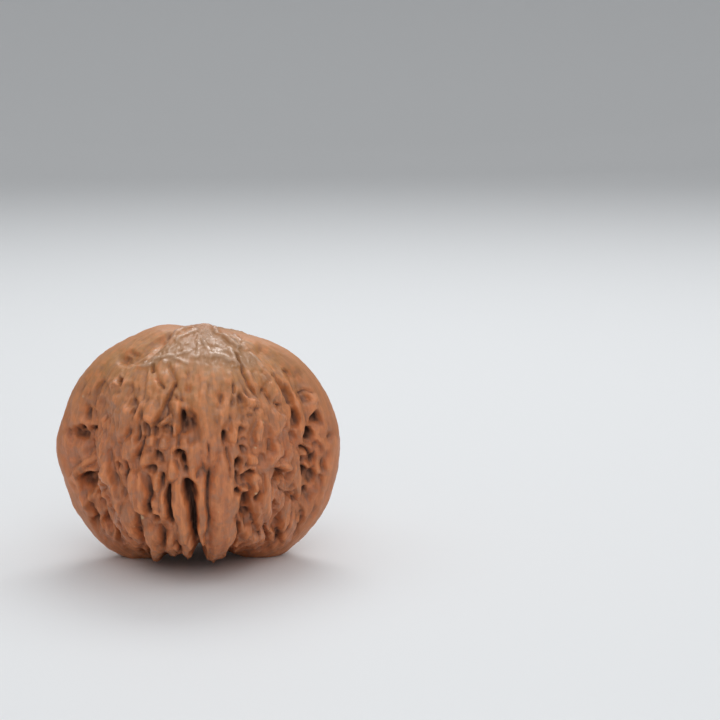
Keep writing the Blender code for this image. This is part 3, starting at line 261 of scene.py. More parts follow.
# Rounded ribs.
RIBS = (
    (((1.2, 37.5, 0.19), (-1.6, 35.9, 1.29), (-5.8, 33.7, 0.6)), 0.6),
    (((1.5, 37.5, 0.29), (1.1, 35.7, 1.61), (1.1, 33.8, 1.33)), 0.48),
    (((1.9, 37.2, 0.19), (4.1, 35.0, 1.13), (6.9, 31.9, 0.6)), 0.6),
    (((-3.3, 31.5, 0.58), (-3.0, 30.6, 1.05), (-2.7, 29.6, 0.85)), 0.42),
    (((-5.4, 31.2, 0.48), (-6.2, 29.0, 0.97), (-6.9, 27.4, 0.73)), 0.42),
    (((2.8, 31.2, 0.77), (3.0, 28.4, 1.45), (3.3, 26.3, 0.97)), 0.42),
    (((5.0, 30.8, 0.39), (5.1, 29.4, 0.65), (5.3, 27.9, 0.48)), 0.42),
    (((-7.6, 30.8, 0.29), (-7.5, 28.5, 0.48), (-7.7, 26.2, 0.36)), 0.42),
    (((-11.6, 25.6, 0.48), (-11.5, 23.5, 0.89), (-11.9, 21.2, 0.81), (-12.6, 19.2, 0.54)), 0.96),
    (((-13.6, 28.7, 0.44), (-13.4, 28.4, 0.73), (-13.3, 28.1, 0.54)), 0.66),
    (((-13.0, 27.2, 0.29), (-13.1, 26.1, 0.48), (-13.2, 25.0, 0.36)), 0.6),
    (((-5.9, 30.4, 0.58), (-5.6, 29.4, 0.97), (-5.4, 28.3, 0.73)), 0.48),
    (((-8.5, 25.7, 0.29), (-9.4, 24.0, 0.48), (-10.4, 21.8, 0.36)), 0.6),
    (((-7.1, 25.7, 0.58), (-7.5, 23.8, 1.13), (-7.7, 22.0, 0.73)), 0.96),
    (((-6.6, 21.3, 0.24), (-5.6, 22.1, 0.48), (-4.6, 22.9, 0.36)), 0.84),
    (((-4.0, 26.0, 0.39), (-3.6, 24.7, 0.73), (-3.3, 22.9, 0.48)), 0.9),
    (((-2.8, 25.7, 0.24), (-3.5, 27.5, 0.32), (-4.0, 26.0, 0.3)), 0.42),
    (((-2.7, 30.4, 0.48), (-2.5, 29.5, 0.81), (-2.4, 28.6, 0.6)), 0.42),
    (((-3.8, 22.0, 0.19), (-3.8, 20.7, 0.36), (-3.9, 19.5, 0.3)), 0.84),
    (((-5.2, 19.5, 0.39), (-5.4, 18.5, 0.65), (-5.7, 17.5, 0.48)), 0.96),
    (((-7.6, 19.9, 0.44), (-7.6, 18.9, 0.77), (-7.6, 17.9, 0.6)), 0.96),
    (((1.0, 30.5, 0.87), (1.4, 26.0, 1.61), (1.7, 19.4, 1.77), (1.8, 14.5, 1.09)), 0.96),
    (((3.6, 17.5, 0.58), (3.6, 13.2, 1.45), (3.8, 9.1, 2.26), (3.5, 4.6, 2.1), (2.2, 0.2, 1.13),
      (2.0, -0.6, 0.48)), 1.8),
    (((0.0, 14.5, 0.58), (0.3, 11.2, 1.05), (0.2, 7.6, 1.05), (0.5, 3.8, 0.89), (0.9, -0.4, 0.42)), 1.56),
    (((4.8, 26.3, 0.58), (4.2, 23.5, 1.13), (3.2, 21.1, 0.73)), 0.72),
    (((8.3, 26.1, 0.68), (8.3, 25.2, 1.21), (8.3, 24.3, 0.97)), 1.2),
    (((10.5, 31.4, 0.48), (11.4, 29.6, 0.81), (12.3, 27.2, 0.97), (12.9, 25.7, 0.6)), 0.6),
    (((7.9, 30.5, 0.39), (8.8, 28.5, 0.65), (9.7, 27.2, 0.48)), 0.42),
    (((12.7, 30.4, 0.39), (14.2, 29.0, 0.81), (15.2, 27.2, 0.81), (16.0, 25.4, 0.73),
      (16.2, 21.8, 0.81), (16.2, 18.5, 0.6)), 0.84),
    (((12.1, 24.3, 0.48), (12.9, 22.3, 0.81), (12.5, 19.4, 0.73)), 0.96),
    (((10.1, 22.3, 0.39), (9.8, 20.7, 0.65), (9.6, 18.2, 0.48)), 0.84),
    (((5.8, 21.1, 0.48), (5.7, 19.8, 0.81), (5.6, 18.6, 0.6)), 0.84),
    (((17.9, 25.5, 0.68), (18.4, 25.2, 1.05), (18.8, 24.9, 0.73)), 0.54),
    (((-16.2, 17.0, 0.29), (-17.8, 16.0, 0.48), (-19.3, 14.9, 0.48), (-20.8, 12.9, 0.36)), 0.96),
    (((-15.9, 19.9, 0.44), (-15.5, 17.6, 0.73), (-15.1, 15.3, 0.65), (-14.8, 13.7, 0.56),
      (-13.9, 11.7, 0.48), (-13.3, 9.7, 0.48), (-13.0, 7.4, 0.56), (-12.9, 5.0, 0.48)), 1.08),
    (((-11.1, 20.2, 0.58), (-11.0, 17.9, 1.13), (-11.4, 15.6, 0.73)), 0.84),
    (((-12.2, 9.7, 0.39), (-11.8, 6.4, 1.13), (-10.9, 3.0, 1.13), (-9.7, 0.7, 0.73)), 0.96),
    (((-10.9, 14.0, 0.39), (-10.5, 12.0, 1.29), (-9.9, 9.7, 1.29), (-9.3, 7.0, 0.6)), 1.68),
    (((-8.7, 5.2, 0.58), (-8.0, 3.3, 1.21), (-7.5, 1.5, 1.13), (-6.6, -0.2, 0.48)), 1.8),
    (((-5.9, 10.3, 0.34), (-5.7, 8.3, 0.56), (-5.6, 6.5, 0.36)), 1.2),
    (((-6.7, 13.9, 0.39), (-6.9, 12.3, 0.73), (-7.1, 10.8, 0.48)), 0.96),
    (((-4.6, 15.9, 0.48), (-4.3, 13.7, 0.89), (-4.4, 11.9, 0.6)), 1.08),
    (((-3.4, 13.6, 0.48), (-3.5, 11.3, 0.89), (-3.2, 8.6, 1.21), (-2.9, 6.0, 1.37), (-2.6, 3.6, 1.29),
      (-2.1, 1.6, 0.81), (-2.0, 0.4, 0.42)), 1.68),
    (((-4.9, 4.6, 0.48), (-4.6, 2.1, 1.13), (-3.8, 0.5, 0.6)), 0.96),
    (((-7.5, 17.4, 0.39), (-8.3, 15.9, 0.81), (-9.3, 14.9, 0.48)), 0.96),
    (((-0.3, 19.5, 0.58), (-0.6, 15.4, 0.97), (-1.1, 13.2, 0.6)), 0.84),
    (((8.9, 13.8, 0.48), (9.2, 11.8, 0.89), (9.1, 10.3, 0.48)), 1.08),
    (((10.8, 14.1, 0.39), (10.8, 11.1, 0.81), (10.6, 8.2, 0.81), (10.4, 5.8, 0.48)), 0.96),
    (((11.0, 4.8, 0.29), (11.1, 3.6, 0.52), (11.1, 2.3, 0.42)), 0.72),
    (((8.7, 4.2, 0.77), (8.6, 3.3, 1.45), (8.5, 2.4, 1.21)), 1.56),
    (((9.5, 9.5, 0.44), (9.6, 6.8, 0.81), (9.4, 4.2, 0.6)), 0.72),
    (((14.6, 19.3, 0.48), (14.9, 16.9, 0.97), (15.2, 14.4, 1.05), (15.8, 11.6, 0.97),
      (16.4, 9.4, 0.48)), 1.08),
    (((13.7, 12.1, 0.58), (14.2, 11.4, 0.97), (14.8, 10.6, 0.73)), 0.84),
    (((12.5, 19.4, 0.39), (12.8, 16.9, 0.81), (12.0, 15.1, 0.48)), 0.84),
    (((8.6, 16.9, 0.48), (8.6, 16.0, 0.81), (8.6, 15.1, 0.6)), 0.84),
    (((5.2, 16.5, 0.29), (5.0, 13.7, 0.56), (5.5, 11.8, 0.36)), 0.72),
    (((7.1, 11.7, 0.39), (7.2, 11.1, 0.65), (7.4, 10.5, 0.48)), 0.72),
    (((14.1, 7.5, 0.68), (13.9, 4.8, 1.29), (13.1, 2.3, 0.85)), 1.08),
    (((-8.0, 9.6, 0.39), (-7.8, 8.8, 0.65), (-7.5, 8.0, 0.48)), 0.6),
)

# Grooves between ribs.
GROOVES = (
    (((-4.8, 35.6, 0.65), (-7.0, 34.2, 0.81), (-8.8, 32.9, 0.89), (-10.6, 32.1, 0.81),
      (-12.0, 32.4, 0.65)), 1.2),
    (((-14.8, 29.4, 0.24), (-15.8, 27.9, 0.32), (-16.5, 26.5, 0.32), (-17.0, 24.8, 0.32)), 0.9),
    (((-3.3, 28.6, 0.24), (-3.9, 27.3, 0.32), (-4.7, 25.9, 0.4), (-5.5, 24.4, 0.4), (-6.4, 22.8, 0.4),
      (-6.9, 21.5, 0.4)), 1.0),
    (((-4.5, 25.4, 0.65), (-5.2, 23.4, 0.56)), 0.6),
    (((-10.3, 26.2, 0.4), (-10.0, 24.8, 0.48), (-10.4, 23.2, 0.32)), 0.9),
    (((11.9, 30.0, 0.32), (12.6, 28.7, 0.4), (13.6, 27.4, 0.48), (14.4, 26.0, 0.48),
      (15.0, 24.6, 0.4)), 1.3),
    (((14.3, 30.6, 0.4), (14.9, 28.8, 0.48), (15.5, 27.2, 0.4), (16.3, 26.0, 0.32)), 0.7),
    (((-4.8, 11.8, 0.32), (-5.1, 9.6, 0.4), (-4.8, 7.6, 0.45), (-4.6, 5.6, 0.32)), 2.3),
    (((-1.5, 12.2, 0.65), (-1.4, 9.6, 0.73), (-1.2, 7.3, 0.58), (-1.0, 4.9, 0.48)), 2.7),
    (((-1.2, 8.3, 0.42), (-1.0, 5.9, 0.44), (-0.7, 3.3, 0.42), (-0.5, 1.6, 0.65), (-0.3, 0.3, 0.97),
      (-0.3, -1.4, 1.05)), 3.0),
    (((-8.8, 20.0, 0.29), (-9.3, 18.1, 0.32), (-9.7, 16.3, 0.32)), 1.3),
    (((-14.3, 18.3, 0.32), (-14.3, 16.0, 0.35), (-13.8, 13.7, 0.35), (-13.4, 11.3, 0.35),
      (-13.0, 9.2, 0.32)), 0.9),
    (((6.3, 7.5, 0.32), (6.2, 5.5, 0.35), (5.9, 3.6, 0.35), (5.4, 1.9, 0.48)), 1.5),
    (((10.4, 5.5, 0.26), (10.4, 3.8, 0.29), (10.1, 2.0, 0.26)), 0.9),
    (((12.6, 12.0, 0.29), (13.5, 10.9, 0.32), (14.6, 10.0, 0.32), (15.6, 8.8, 0.35), (16.3, 7.6, 0.42),
      (16.5, 6.3, 0.32)), 1.3),
    (((16.2, 18.5, 0.29), (16.8, 17.7, 0.32), (17.6, 16.9, 0.32), (18.2, 15.9, 0.29)), 2.0),
    (((-10.1, 7.7, 0.32), (-9.9, 5.3, 0.35), (-9.1, 3.0, 0.48), (-8.3, 1.5, 0.48), (-7.9, 0.3, 0.32)), 1.4),
    (((-6.3, 5.5, 0.4), (-6.0, 3.7, 0.48), (-5.6, 1.8, 0.32)), 1.2),
    (((4.5, 18.1, 0.26), (4.6, 15.3, 0.29), (4.7, 12.8, 0.26)), 0.45),
    (((10.4, 13.8, 0.23), (10.3, 11.8, 0.27), (10.1, 10.2, 0.23)), 0.7),
    (((-16.9, 25.5, 0.32), (-17.6, 23.5, 0.4), (-18.1, 22.2, 0.32)), 0.5),
    (((-14.6, 22.2, 0.32), (-14.6, 19.6, 0.4)), 0.5),
    (((-16.6, 24.5, 0.4), (-16.5, 22.1, 0.48), (-16.4, 19.6, 0.4)), 0.6),
    (((16.8, 14.7, 0.32), (16.5, 11.9, 0.32), (16.7, 9.4, 0.32)), 0.8),
    (((13.6, 17.4, 0.26), (13.7, 15.9, 0.32)), 1.1),
    (((11.7, 19.4, 0.24), (11.5, 17.4, 0.29)), 0.8),
    (((-10.8, 8.3, 0.24), (-11.4, 9.7, 0.24), (-11.6, 11.7, 0.29), (-11.7, 13.6, 0.29)), 0.9),
    (((-8.4, 13.3, 0.26), (-8.1, 11.3, 0.32), (-8.0, 9.2, 0.32), (-8.2, 7.3, 0.32)), 1.0),
    (((-6.4, 29.1, 0.19), (-5.4, 27.8, 0.23)), 0.4),
    (((16.5, 26.8, 0.19), (17.7, 27.3, 0.23), (18.7, 26.7, 0.19)), 0.5),
    (((13.7, 25.1, 0.24), (12.6, 25.1, 0.29)), 0.6),
    (((10.4, 30.5, 0.26), (11.4, 28.7, 0.26), (10.5, 26.7, 0.26)), 0.5),
    (((7.8, 16.1, 0.23), (7.6, 14.8, 0.23)), 0.6),
)

# Cracks.
CRACKS = (
    (((1.5, 19.5, 0.15), (1.6, 14.5, 0.16), (1.2, 9.6, 0.19), (1.4, 6.3, 0.19), (0.9, 3.8, 0.19),
      (0.7, 0.3, 0.23)), 0.6),
    (((5.7, 33.5, 0.16), (6.5, 32.6, 0.18), (7.1, 31.3, 0.19), (7.5, 29.8, 0.21), (8.2, 28.2, 0.23),
      (8.8, 27.2, 0.23), (9.6, 26.2, 0.24), (9.7, 24.6, 0.29)), 0.9),
    (((5.8, 28.6, 0.19), (5.9, 26.6, 0.23)), 0.6),
    (((-7.1, 31.6, 0.18), (-7.1, 30.4, 0.18)), 0.6),
    (((-9.4, 28.0, 0.21), (-9.8, 26.2, 0.24)), 0.5),
    (((7.1, 36.3, 0.15), (7.3, 34.7, 0.16)), 0.4),
)

# Thin raised veins, and the arches over some pits.
VEINS = (
    (((-12.8, 27.6, 0.37), (-11.8, 28.1, 0.37), (-11.0, 28.7, 0.37), (-10.2, 28.4, 0.37),
      (-9.8, 27.5, 0.37)), 0.28),
    (((-4.3, 27.3, 0.37), (-5.6, 26.7, 0.37), (-6.8, 26.2, 0.37), (-7.6, 25.9, 0.37)), 0.24),
    (((-14.8, 13.2, 0.44), (-16.3, 11.1, 0.44), (-17.8, 9.4, 0.41), (-19.2, 7.7, 0.37)), 0.84),
    (((-16.7, 9.7, 0.37), (-15.2, 10.2, 0.39), (-14.1, 11.4, 0.37)), 0.56),
    (((-16.3, 6.9, 0.39), (-15.2, 4.9, 0.41), (-14.3, 2.9, 0.37)), 0.7),
    (((-20.7, 11.9, 0.44), (-19.5, 13.4, 0.48), (-18.0, 14.2, 0.48), (-16.2, 14.2, 0.48),
      (-14.8, 13.3, 0.44)), 0.56),
    (((16.9, 23.6, 0.44), (18.3, 23.8, 0.48), (19.5, 24.4, 0.44)), 0.28),
    (((-2.5, 24.1, 0.39), (-1.5, 24.5, 0.44), (-0.4, 24.0, 0.39)), 0.35),
    (((-5.4, 17.0, 0.44), (-3.7, 17.9, 0.48), (-2.0, 17.8, 0.48), (-1.4, 16.7, 0.44)), 0.49),
    (((-11.4, 14.0, 0.44), (-9.8, 13.5, 0.44), (-8.3, 15.3, 0.48), (-7.3, 16.2, 0.44)), 0.42),
    (((6.6, 12.8, 0.39), (7.4, 14.3, 0.44), (9.2, 14.5, 0.44)), 0.42),
    (((-2.6, 12.6, 0.39), (-1.4, 13.0, 0.44), (-0.3, 12.4, 0.39)), 0.42),
    (((6.6, 9.7, 0.44), (7.7, 10.3, 0.44), (9.3, 10.2, 0.48)), 0.49),
    (((11.9, 13.9, 0.39), (13.1, 14.8, 0.44), (14.5, 14.1, 0.44)), 0.42),
    (((16.3, 14.7, 0.39), (17.3, 15.2, 0.39), (18.4, 13.9, 0.44), (19.3, 12.9, 0.39)), 0.42),
    (((17.4, 21.8, 0.37), (17.8, 20.5, 0.39), (18.8, 19.0, 0.39), (18.6, 17.3, 0.37)), 0.35),
    (((-14.3, 2.2, 0.37), (-13.5, 4.0, 0.39), (-12.6, 4.4, 0.44), (-12.0, 2.9, 0.39)), 0.49),
    (((-8.0, 7.3, 0.37), (-7.1, 7.7, 0.39), (-5.9, 6.8, 0.37)), 0.35),
    (((-20.0, 22.1, 0.39), (-18.6, 22.4, 0.39), (-17.3, 21.9, 0.39)), 0.35),
    (((5.2, 21.7, 0.39), (6.6, 21.9, 0.39), (7.9, 21.5, 0.39)), 0.35),
    (((9.1, 19.2, 0.37), (9.6, 21.3, 0.37), (10.6, 22.5, 0.39), (11.6, 21.2, 0.37)), 0.32),
    (((-13.8, 15.6, 0.37), (-13.0, 15.9, 0.37), (-12.2, 15.3, 0.37)), 0.28),
    (((11.1, 8.5, 0.37), (11.9, 9.1, 0.39), (12.8, 8.5, 0.37)), 0.35),
)

# Folds of the cap below the tip.
CAP_FOLDS = (
    (((1.0, 37.6, 0.31), (-0.1, 37.3, 0.39), (-1.4, 36.9, 0.45), (-2.7, 36.2, 0.48), (-4.6, 35.4, 0.52),
      (-6.4, 34.7, 0.52), (-7.2, 34.0, 0.52), (-8.3, 32.9, 0.45), (-9.6, 32.1, 0.4),
      (-11.1, 31.3, 0.35)), 1.15),
    (((0.5, 37.0, 0.31), (-0.6, 36.5, 0.32), (-1.9, 35.7, 0.32), (-3.2, 35.1, 0.32)), 0.59),
    (((2.4, 37.5, 0.31), (3.1, 36.8, 0.39), (3.7, 36.0, 0.44), (4.5, 35.4, 0.47), (5.6, 34.7, 0.47),
      (7.0, 33.9, 0.42)), 1.05),
    (((4.2, 37.1, 0.32), (5.6, 36.6, 0.32), (6.4, 35.5, 0.32), (7.5, 34.5, 0.35), (8.7, 34.0, 0.35)), 0.5),
    (((4.5, 37.1, 0.31), (5.4, 36.0, 0.31), (6.4, 35.0, 0.31), (7.8, 34.7, 0.31), (9.1, 34.0, 0.31)), 0.31),
    (((-6.9, 33.5, 0.31), (-6.8, 32.7, 0.31), (-5.5, 32.5, 0.31), (-4.2, 33.0, 0.31),
      (-2.9, 33.3, 0.31), (-1.0, 33.6, 0.31)), 0.34),
    (((-3.9, 32.8, 0.31), (-2.9, 32.2, 0.31), (-2.0, 31.7, 0.31), (-1.0, 31.6, 0.31)), 0.34),
    (((-5.3, 31.6, 0.31), (-4.6, 31.6, 0.31)), 0.26),
    (((-9.4, 31.0, 0.31), (-8.2, 31.3, 0.31), (-7.3, 31.6, 0.31)), 0.51),
    (((0.6, 35.6, 0.31), (1.3, 34.6, 0.31), (2.2, 33.6, 0.31), (3.8, 33.4, 0.31), (5.2, 33.6, 0.31),
      (6.2, 32.8, 0.31)), 0.31),
    (((2.1, 35.7, 0.31), (2.9, 34.6, 0.31), (3.8, 33.9, 0.31)), 0.2),
    (((1.9, 33.0, 0.31), (3.0, 33.0, 0.31), (4.3, 32.8, 0.31), (5.2, 32.1, 0.31), (6.3, 31.7, 0.31),
      (7.1, 31.1, 0.31)), 0.42),
    (((5.5, 31.3, 0.31), (6.5, 31.1, 0.31)), 0.2),
    (((0.0, 34.9, 0.31), (0.4, 33.8, 0.31), (0.1, 32.5, 0.31)), 0.2),
    (((-8.4, 32.4, 0.4), (-8.0, 32.1, 0.4)), 0.51),
    (((8.6, 33.7, 0.31), (9.8, 32.1, 0.31), (10.8, 30.8, 0.31)), 0.34),
)

# Where the cap is paler, in strokes like those of the front.
CAP_SHAPE = (
    (((1.7, 38.9, 1.13), (1.1, 34.9, 3.87)), 1.0),
    (((-7.7, 31.9, 1.13), (-3.4, 33.5, 2.26), (1.1, 33.8, 3.55), (5.4, 33.4, 2.42),
      (9.2, 31.8, 1.13)), 1.0),
)

# Grooves of the front that only the fine shell has, in strokes like those of the front.
FINE_GROOVES = (
    (((-6.6, 30.9, 0.32), (-6.4, 29.5, 0.37), (-5.6, 27.8, 0.32)), 0.35),
    (((-4.5, 31.7, 0.31), (-4.2, 30.1, 0.34), (-3.7, 28.6, 0.35)), 0.45),
    (((-3.5, 28.3, 0.31), (-3.1, 27.0, 0.34), (-2.5, 25.5, 0.31)), 0.4),
    (((-1.5, 30.6, 0.35), (-1.3, 28.9, 0.42), (-1.2, 26.7, 0.45)), 0.35),
    (((1.9, 28.6, 0.31), (1.8, 26.3, 0.34), (2.3, 23.9, 0.4), (2.9, 21.7, 0.35)), 0.5),
    (((3.8, 28.2, 0.31), (4.0, 26.0, 0.34), (3.6, 23.9, 0.31)), 0.35),
    (((5.5, 25.6, 0.31), (5.2, 22.0, 0.34)), 0.4),
    (((5.8, 28.6, 0.31), (5.9, 26.4, 0.34)), 0.4),
    (((-7.9, 30.8, 0.32), (-8.6, 28.0, 0.39), (-9.2, 26.2, 0.32)), 0.4),
    (((-10.5, 28.7, 0.31), (-10.8, 26.9, 0.4), (-10.6, 24.8, 0.39)), 0.45),
    (((8.8, 30.6, 0.31), (9.5, 28.8, 0.34), (10.4, 27.1, 0.31)), 0.3),
    (((0.4, 30.5, 0.31), (0.2, 27.6, 0.34), (0.2, 25.3, 0.31)), 0.25),
    (((1.5, 19.5, 0.29), (1.6, 14.5, 0.31), (1.2, 9.6, 0.32), (1.4, 6.3, 0.32), (0.9, 3.8, 0.32),
      (0.7, 0.9, 0.35)), 0.45),
    (((-7.1, 31.7, 0.31), (-7.1, 30.1, 0.31)), 0.4),
    (((-2.2, 23.7, 0.52), (-2.1, 22.1, 0.61), (-2.3, 20.0, 0.52)), 0.9),
    (((-16.2, 17.0, 0.42), (-17.8, 16.1, 0.45), (-19.3, 15.0, 0.45), (-20.8, 13.1, 0.42)), 0.45),
)


def smooth(low, high, value):
    """0 at low, 1 at high, with an easy start and end; high may be under low."""
    share = np.clip((value - low) / (high - low), 0.0, 1.0)
    return share * share * (3.0 - 2.0 * share)


def unit(vectors):
    return vectors / np.linalg.norm(vectors, axis=-1, keepdims=True)


def dot(first, second):
    return (first * second).sum(axis=-1)


def belly_radius(ways):
    """Distance from the heart to the two cheeks, round from above and squared-off from the side."""
    tall = np.where(ways[:, 2] > 0, BELLY_UP, BELLY_DOWN)
    level = np.hypot(ways[:, 0] / BELLY_ACROSS, ways[:, 1] / BELLY_DEEP)
    return (level**BELLY_SQUARE + (np.abs(ways[:, 2]) / tall) ** BELLY_SQUARE) ** (-1.0 / BELLY_SQUARE)


def seam_radius(ways):
    """Distance from the heart to the crest of the seam, a smooth curve through SEAM_RADII."""
    radii = np.array(SEAM_RADII)
    turn = np.arctan2(ways[:, 2], ways[:, 0]) / (2 * math.pi) * len(radii)
    first = np.floor(turn).astype(int)
    share = turn - first
    before, here, after, beyond = (radii[(first + step) % len(radii)] for step in (-1, 0, 1, 2))
    slope = after - before
    bend = 2 * before - 5 * here + 4 * after - beyond
    twist = 3 * here - before - 3 * after + beyond
    return 0.5 * (2 * here + slope * share + bend * share**2 + twist * share**3)


def plain_form(ways):
    """Points of the nut without its relief: cheeks, seam with a valley on each side, tip and navel."""
    belly = belly_radius(ways)
    away = np.abs(ways[:, 1]) * belly
    in_seam_plane = smooth(0.2, 0.7, np.hypot(ways[:, 0], ways[:, 2]))
    seam = np.exp(-((away / SEAM_WIDE) ** 1.7)) * in_seam_plane
    valley = VALLEY_DEEP * np.exp(-(((away - VALLEY_AWAY) / VALLEY_WIDE) ** 2))
    flank = smooth(0.35, 0.95, np.abs(ways[:, 0]))
    radius = belly + (seam_radius(ways) - belly) * seam - valley * flank
    points = HEART + ways * radius[:, None]
    from_tip = np.hypot(points[:, 0] - TIP_ACROSS, points[:, 1] * 0.9)
    from_navel = np.hypot(points[:, 0] * 0.75, points[:, 1])
    heel = np.hypot((points[:, 0] - HEEL_PLACE[0]) / 2.0, points[:, 1] - HEEL_PLACE[1])
    low = smooth(0.0, 0.6, -ways[:, 2])
    points[:, 2] += smooth(0.0, 0.6, ways[:, 2]) * TIP_TALL * np.exp(-((from_tip / TIP_WIDE) ** 1.4))
    points[:, 2] += low * NAVEL_DEEP * np.exp(-((from_navel / NAVEL_WIDE) ** 2))
    points[:, 2] -= low * HEEL_DEEP * np.exp(-((heel / HEEL_WIDE) ** 2))
    return points


def form_and_normals(ways):
    """Points of the plain form and the directions square to it, outwards."""
    helper = np.where(np.abs(ways[:, 2:]) < 0.8, [[0.0, 0.0, 1.0]], [[1.0, 0.0, 0.0]])
    sideways = unit(np.cross(ways, helper))
    upwards = np.cross(ways, sideways)
    step = 0.002
    along = plain_form(unit(ways + step * sideways)) - plain_form(unit(ways - step * sideways))
    across = plain_form(unit(ways + step * upwards)) - plain_form(unit(ways - step * upwards))
    normals = unit(np.cross(along, across))
    return plain_form(ways), normals * np.sign(dot(normals, ways))[:, None]


def noise_at(points, size, shift, tall=1.0):
    """Soft noise from about -1 to 1, its lumps size mm wide and tall times as high."""
    scaled = points / (size * np.array((1.0, 1.0, tall))) + shift
    return np.array([noise.noise(place) for place in scaled.tolist()])


def noise_vectors(points, size, shift):
    noise.seed_set(DRIFT_SEED)
    return np.array([noise.noise_vector(place) for place in (points / size + shift).tolist()])


def meridian_noise(ways, size, length, shift):
    """Noise drawn out from tip to foot, as the shell's own fibres are."""
    turn = np.arctan2(ways[:, 1], ways[:, 0])
    height = np.arcsin(np.clip(ways[:, 2], -1.0, 1.0))
    reach = MEAN_RADIUS / size
    places = np.stack([np.cos(turn) * reach, np.sin(turn) * reach, height * MEAN_RADIUS / length], 1)
    return np.array([noise.noise(place) for place in (places + shift).tolist()])


def cell_walls(points, size, tall, shift):
    """Gap to the wall between two cells, and a fixed chance from 0 to 1 for each cell."""
    places = (points / (size * np.array((1.0, 1.0, tall))) + shift).tolist()
    found = [noise.voronoi(place) for place in places]
    gap = np.array([distances[1] - distances[0] for distances, _ in found])
    chance = np.array([noise.cell(seeds[0] * 9.7) for _, seeds in found])
    return gap, chance


def seen_from_front(points):
    """Across and up in the seam's plane, where the photo's eye sees each point or its twin on the front."""
    depth = -np.abs(points[:, 1])
    share = PHOTO_EYE[1] / (PHOTO_EYE[1] - depth)
    across = PHOTO_EYE[0] + (points[:, 0] - PHOTO_EYE[0]) * share
    return across, PHOTO_EYE[2] + (points[:, 2] - PHOTO_EYE[2]) * share


def from_stroke(across, up, stroke):
    """How many half widths off a stroke's line each place lies, and how far along it, from 0 to 1."""
    line = np.array(stroke)
    legs = line[1:] - line[:-1]
    lengths = np.hypot(legs[:, 0], legs[:, 1])
    nearest = np.full(len(across), np.inf)
    share = np.zeros(len(across))
    passed = 0.0
    for start, leg, length in zip(line, legs, lengths):
        part = ((across - start[0]) * leg[0] + (up - start[1]) * leg[1]) / length**2
        part = np.clip(part, 0.0, 1.0)
        gap = np.hypot(across - start[0] - part * leg[0], up - start[1] - part * leg[1])
        gap /= start[2] + part * leg[2]
        share = np.where(gap < nearest, (passed + part * length) / lengths.sum(), share)
        nearest = np.minimum(gap, nearest)
        passed += length
    return nearest, share


def rounded(gap):
    return np.exp(-(gap**2))


def flat_topped(gap):
    """1 on a level top, then down a straight side."""
    return 0.75 * np.clip(1.5 - gap, 0.0, 1.0) + 0.25 * np.exp(-(gap**2))


def sharp_edged(gap):
    """1 in the middle, with straight sides that meet the ground in an edge."""
    return np.clip(1.15 - 0.8 * gap, 0.0, 1.0)


def tallest(across, up, strokes, profile, rise=0.0):
    """Height of the tallest of a set of strokes at each place, by a profile over their half widths.

    Each stroke grows from nothing over its first share, rise, and sinks again over half as much."""
    height = np.zeros(len(across))
    for stroke, tall in strokes:
        gap, share = from_stroke(across, up, stroke)
        made = tall * profile(gap)
        if rise:
            made *= smooth(-0.3 * rise, rise, share) * smooth(1.0 + 0.3 * rise, 1.0 - 0.5 * rise, share)
        height = np.maximum(height, made)
    return height


def hollow(sideways, upwards, ragged, steep):
    """Share of a pit's depth: steep under its upper edge, running out below."""
    below = smooth(0.2, -1.2, upwards)
    edge = 1.3 + 0.45 * below
    floor = 0.1 + 0.5 * steep - 0.5 * below
    share = np.clip((edge - np.hypot(sideways, upwards) - ragged) / (edge - floor), 0.0, 1.0)
    return share * share * (3.0 - 2.0 * share) * (0.62 + 0.45 * smooth(-1.2, 0.8, upwards))


def leaned(across, up, place, lean):
    """Offsets from a place, turned by a lean in degrees to the right."""
    angle = math.radians(lean)
    right, rise = across - place[0], up - place[1]
    sideways = right * math.cos(angle) - rise * math.sin(angle)
    return sideways, right * math.sin(angle) + rise * math.cos(angle)


class Shell:
    """The plain form along unit directions, with what the relief reads at each of its points."""

    def __init__(self, ways):
        self.ways = ways
        self.points, self.normals = form_and_normals(ways)
        # Broad and fine wandering, which bends what would be straight lines.
        self.drift = noise_vectors(self.points, 3.0, 7.3)
        self.flutter = noise_vectors(self.points, 1.3, 3.1)
        self.across, self.up = seen_from_front(self.points)
        self.bent_across = self.across + 0.35 * self.drift[:, 0] + 0.13 * self.flutter[:, 0]
        self.bent_up = self.up + 0.5 * self.drift[:, 1] + 0.18 * self.flutter[:, 1]
        self.bent_ways = ways + 0.035 * self.drift + 0.012 * self.flutter
        self.front = front_share(self.points, self.normals)
        to_eye = unit(PHOTO_EYE - self.points)
        self.outwards = unit(self.normals + FRONT_TURN * self.front[:, None] * to_eye)
        from_axis = np.hypot(self.points[:, 0], self.points[:, 2] - HEART[2])
        away = np.abs(self.points[:, 1]) + 1.2 * self.drift[:, 2]
        # 1 on the smooth band along the seam, 1 towards the tip, and 1 where the shell is roughest.
        self.rim = smooth(3.3, 1.2, away) * smooth(12.0, 15.0, from_axis)
        self.high = smooth(24.5, 34.0, self.points[:, 2] + 2.0 * self.drift[:, 1])
        self.rough = (1 - 0.95 * self.rim) * (1 - 0.9 * self.high)
        # How far the edges of pits stray from an even oval.
        self.ragged = 0.4 * noise_at(self.points, 1.3, 33.0, 2.2)
        self.ragged += 0.18 * noise_at(self.points, 0.65, 11.0, 2.2)


def front_share(points, normals):
    """1 where the photo shows the shell, fading to 0 where it turns away."""
    facing = dot(normals, unit(PHOTO_EYE - points)) + 0.4 * smooth(8.0, 2.0, points[:, 2])
    return smooth(0.05, 0.3, facing) * smooth(3.0, -1.0, points[:, 1])


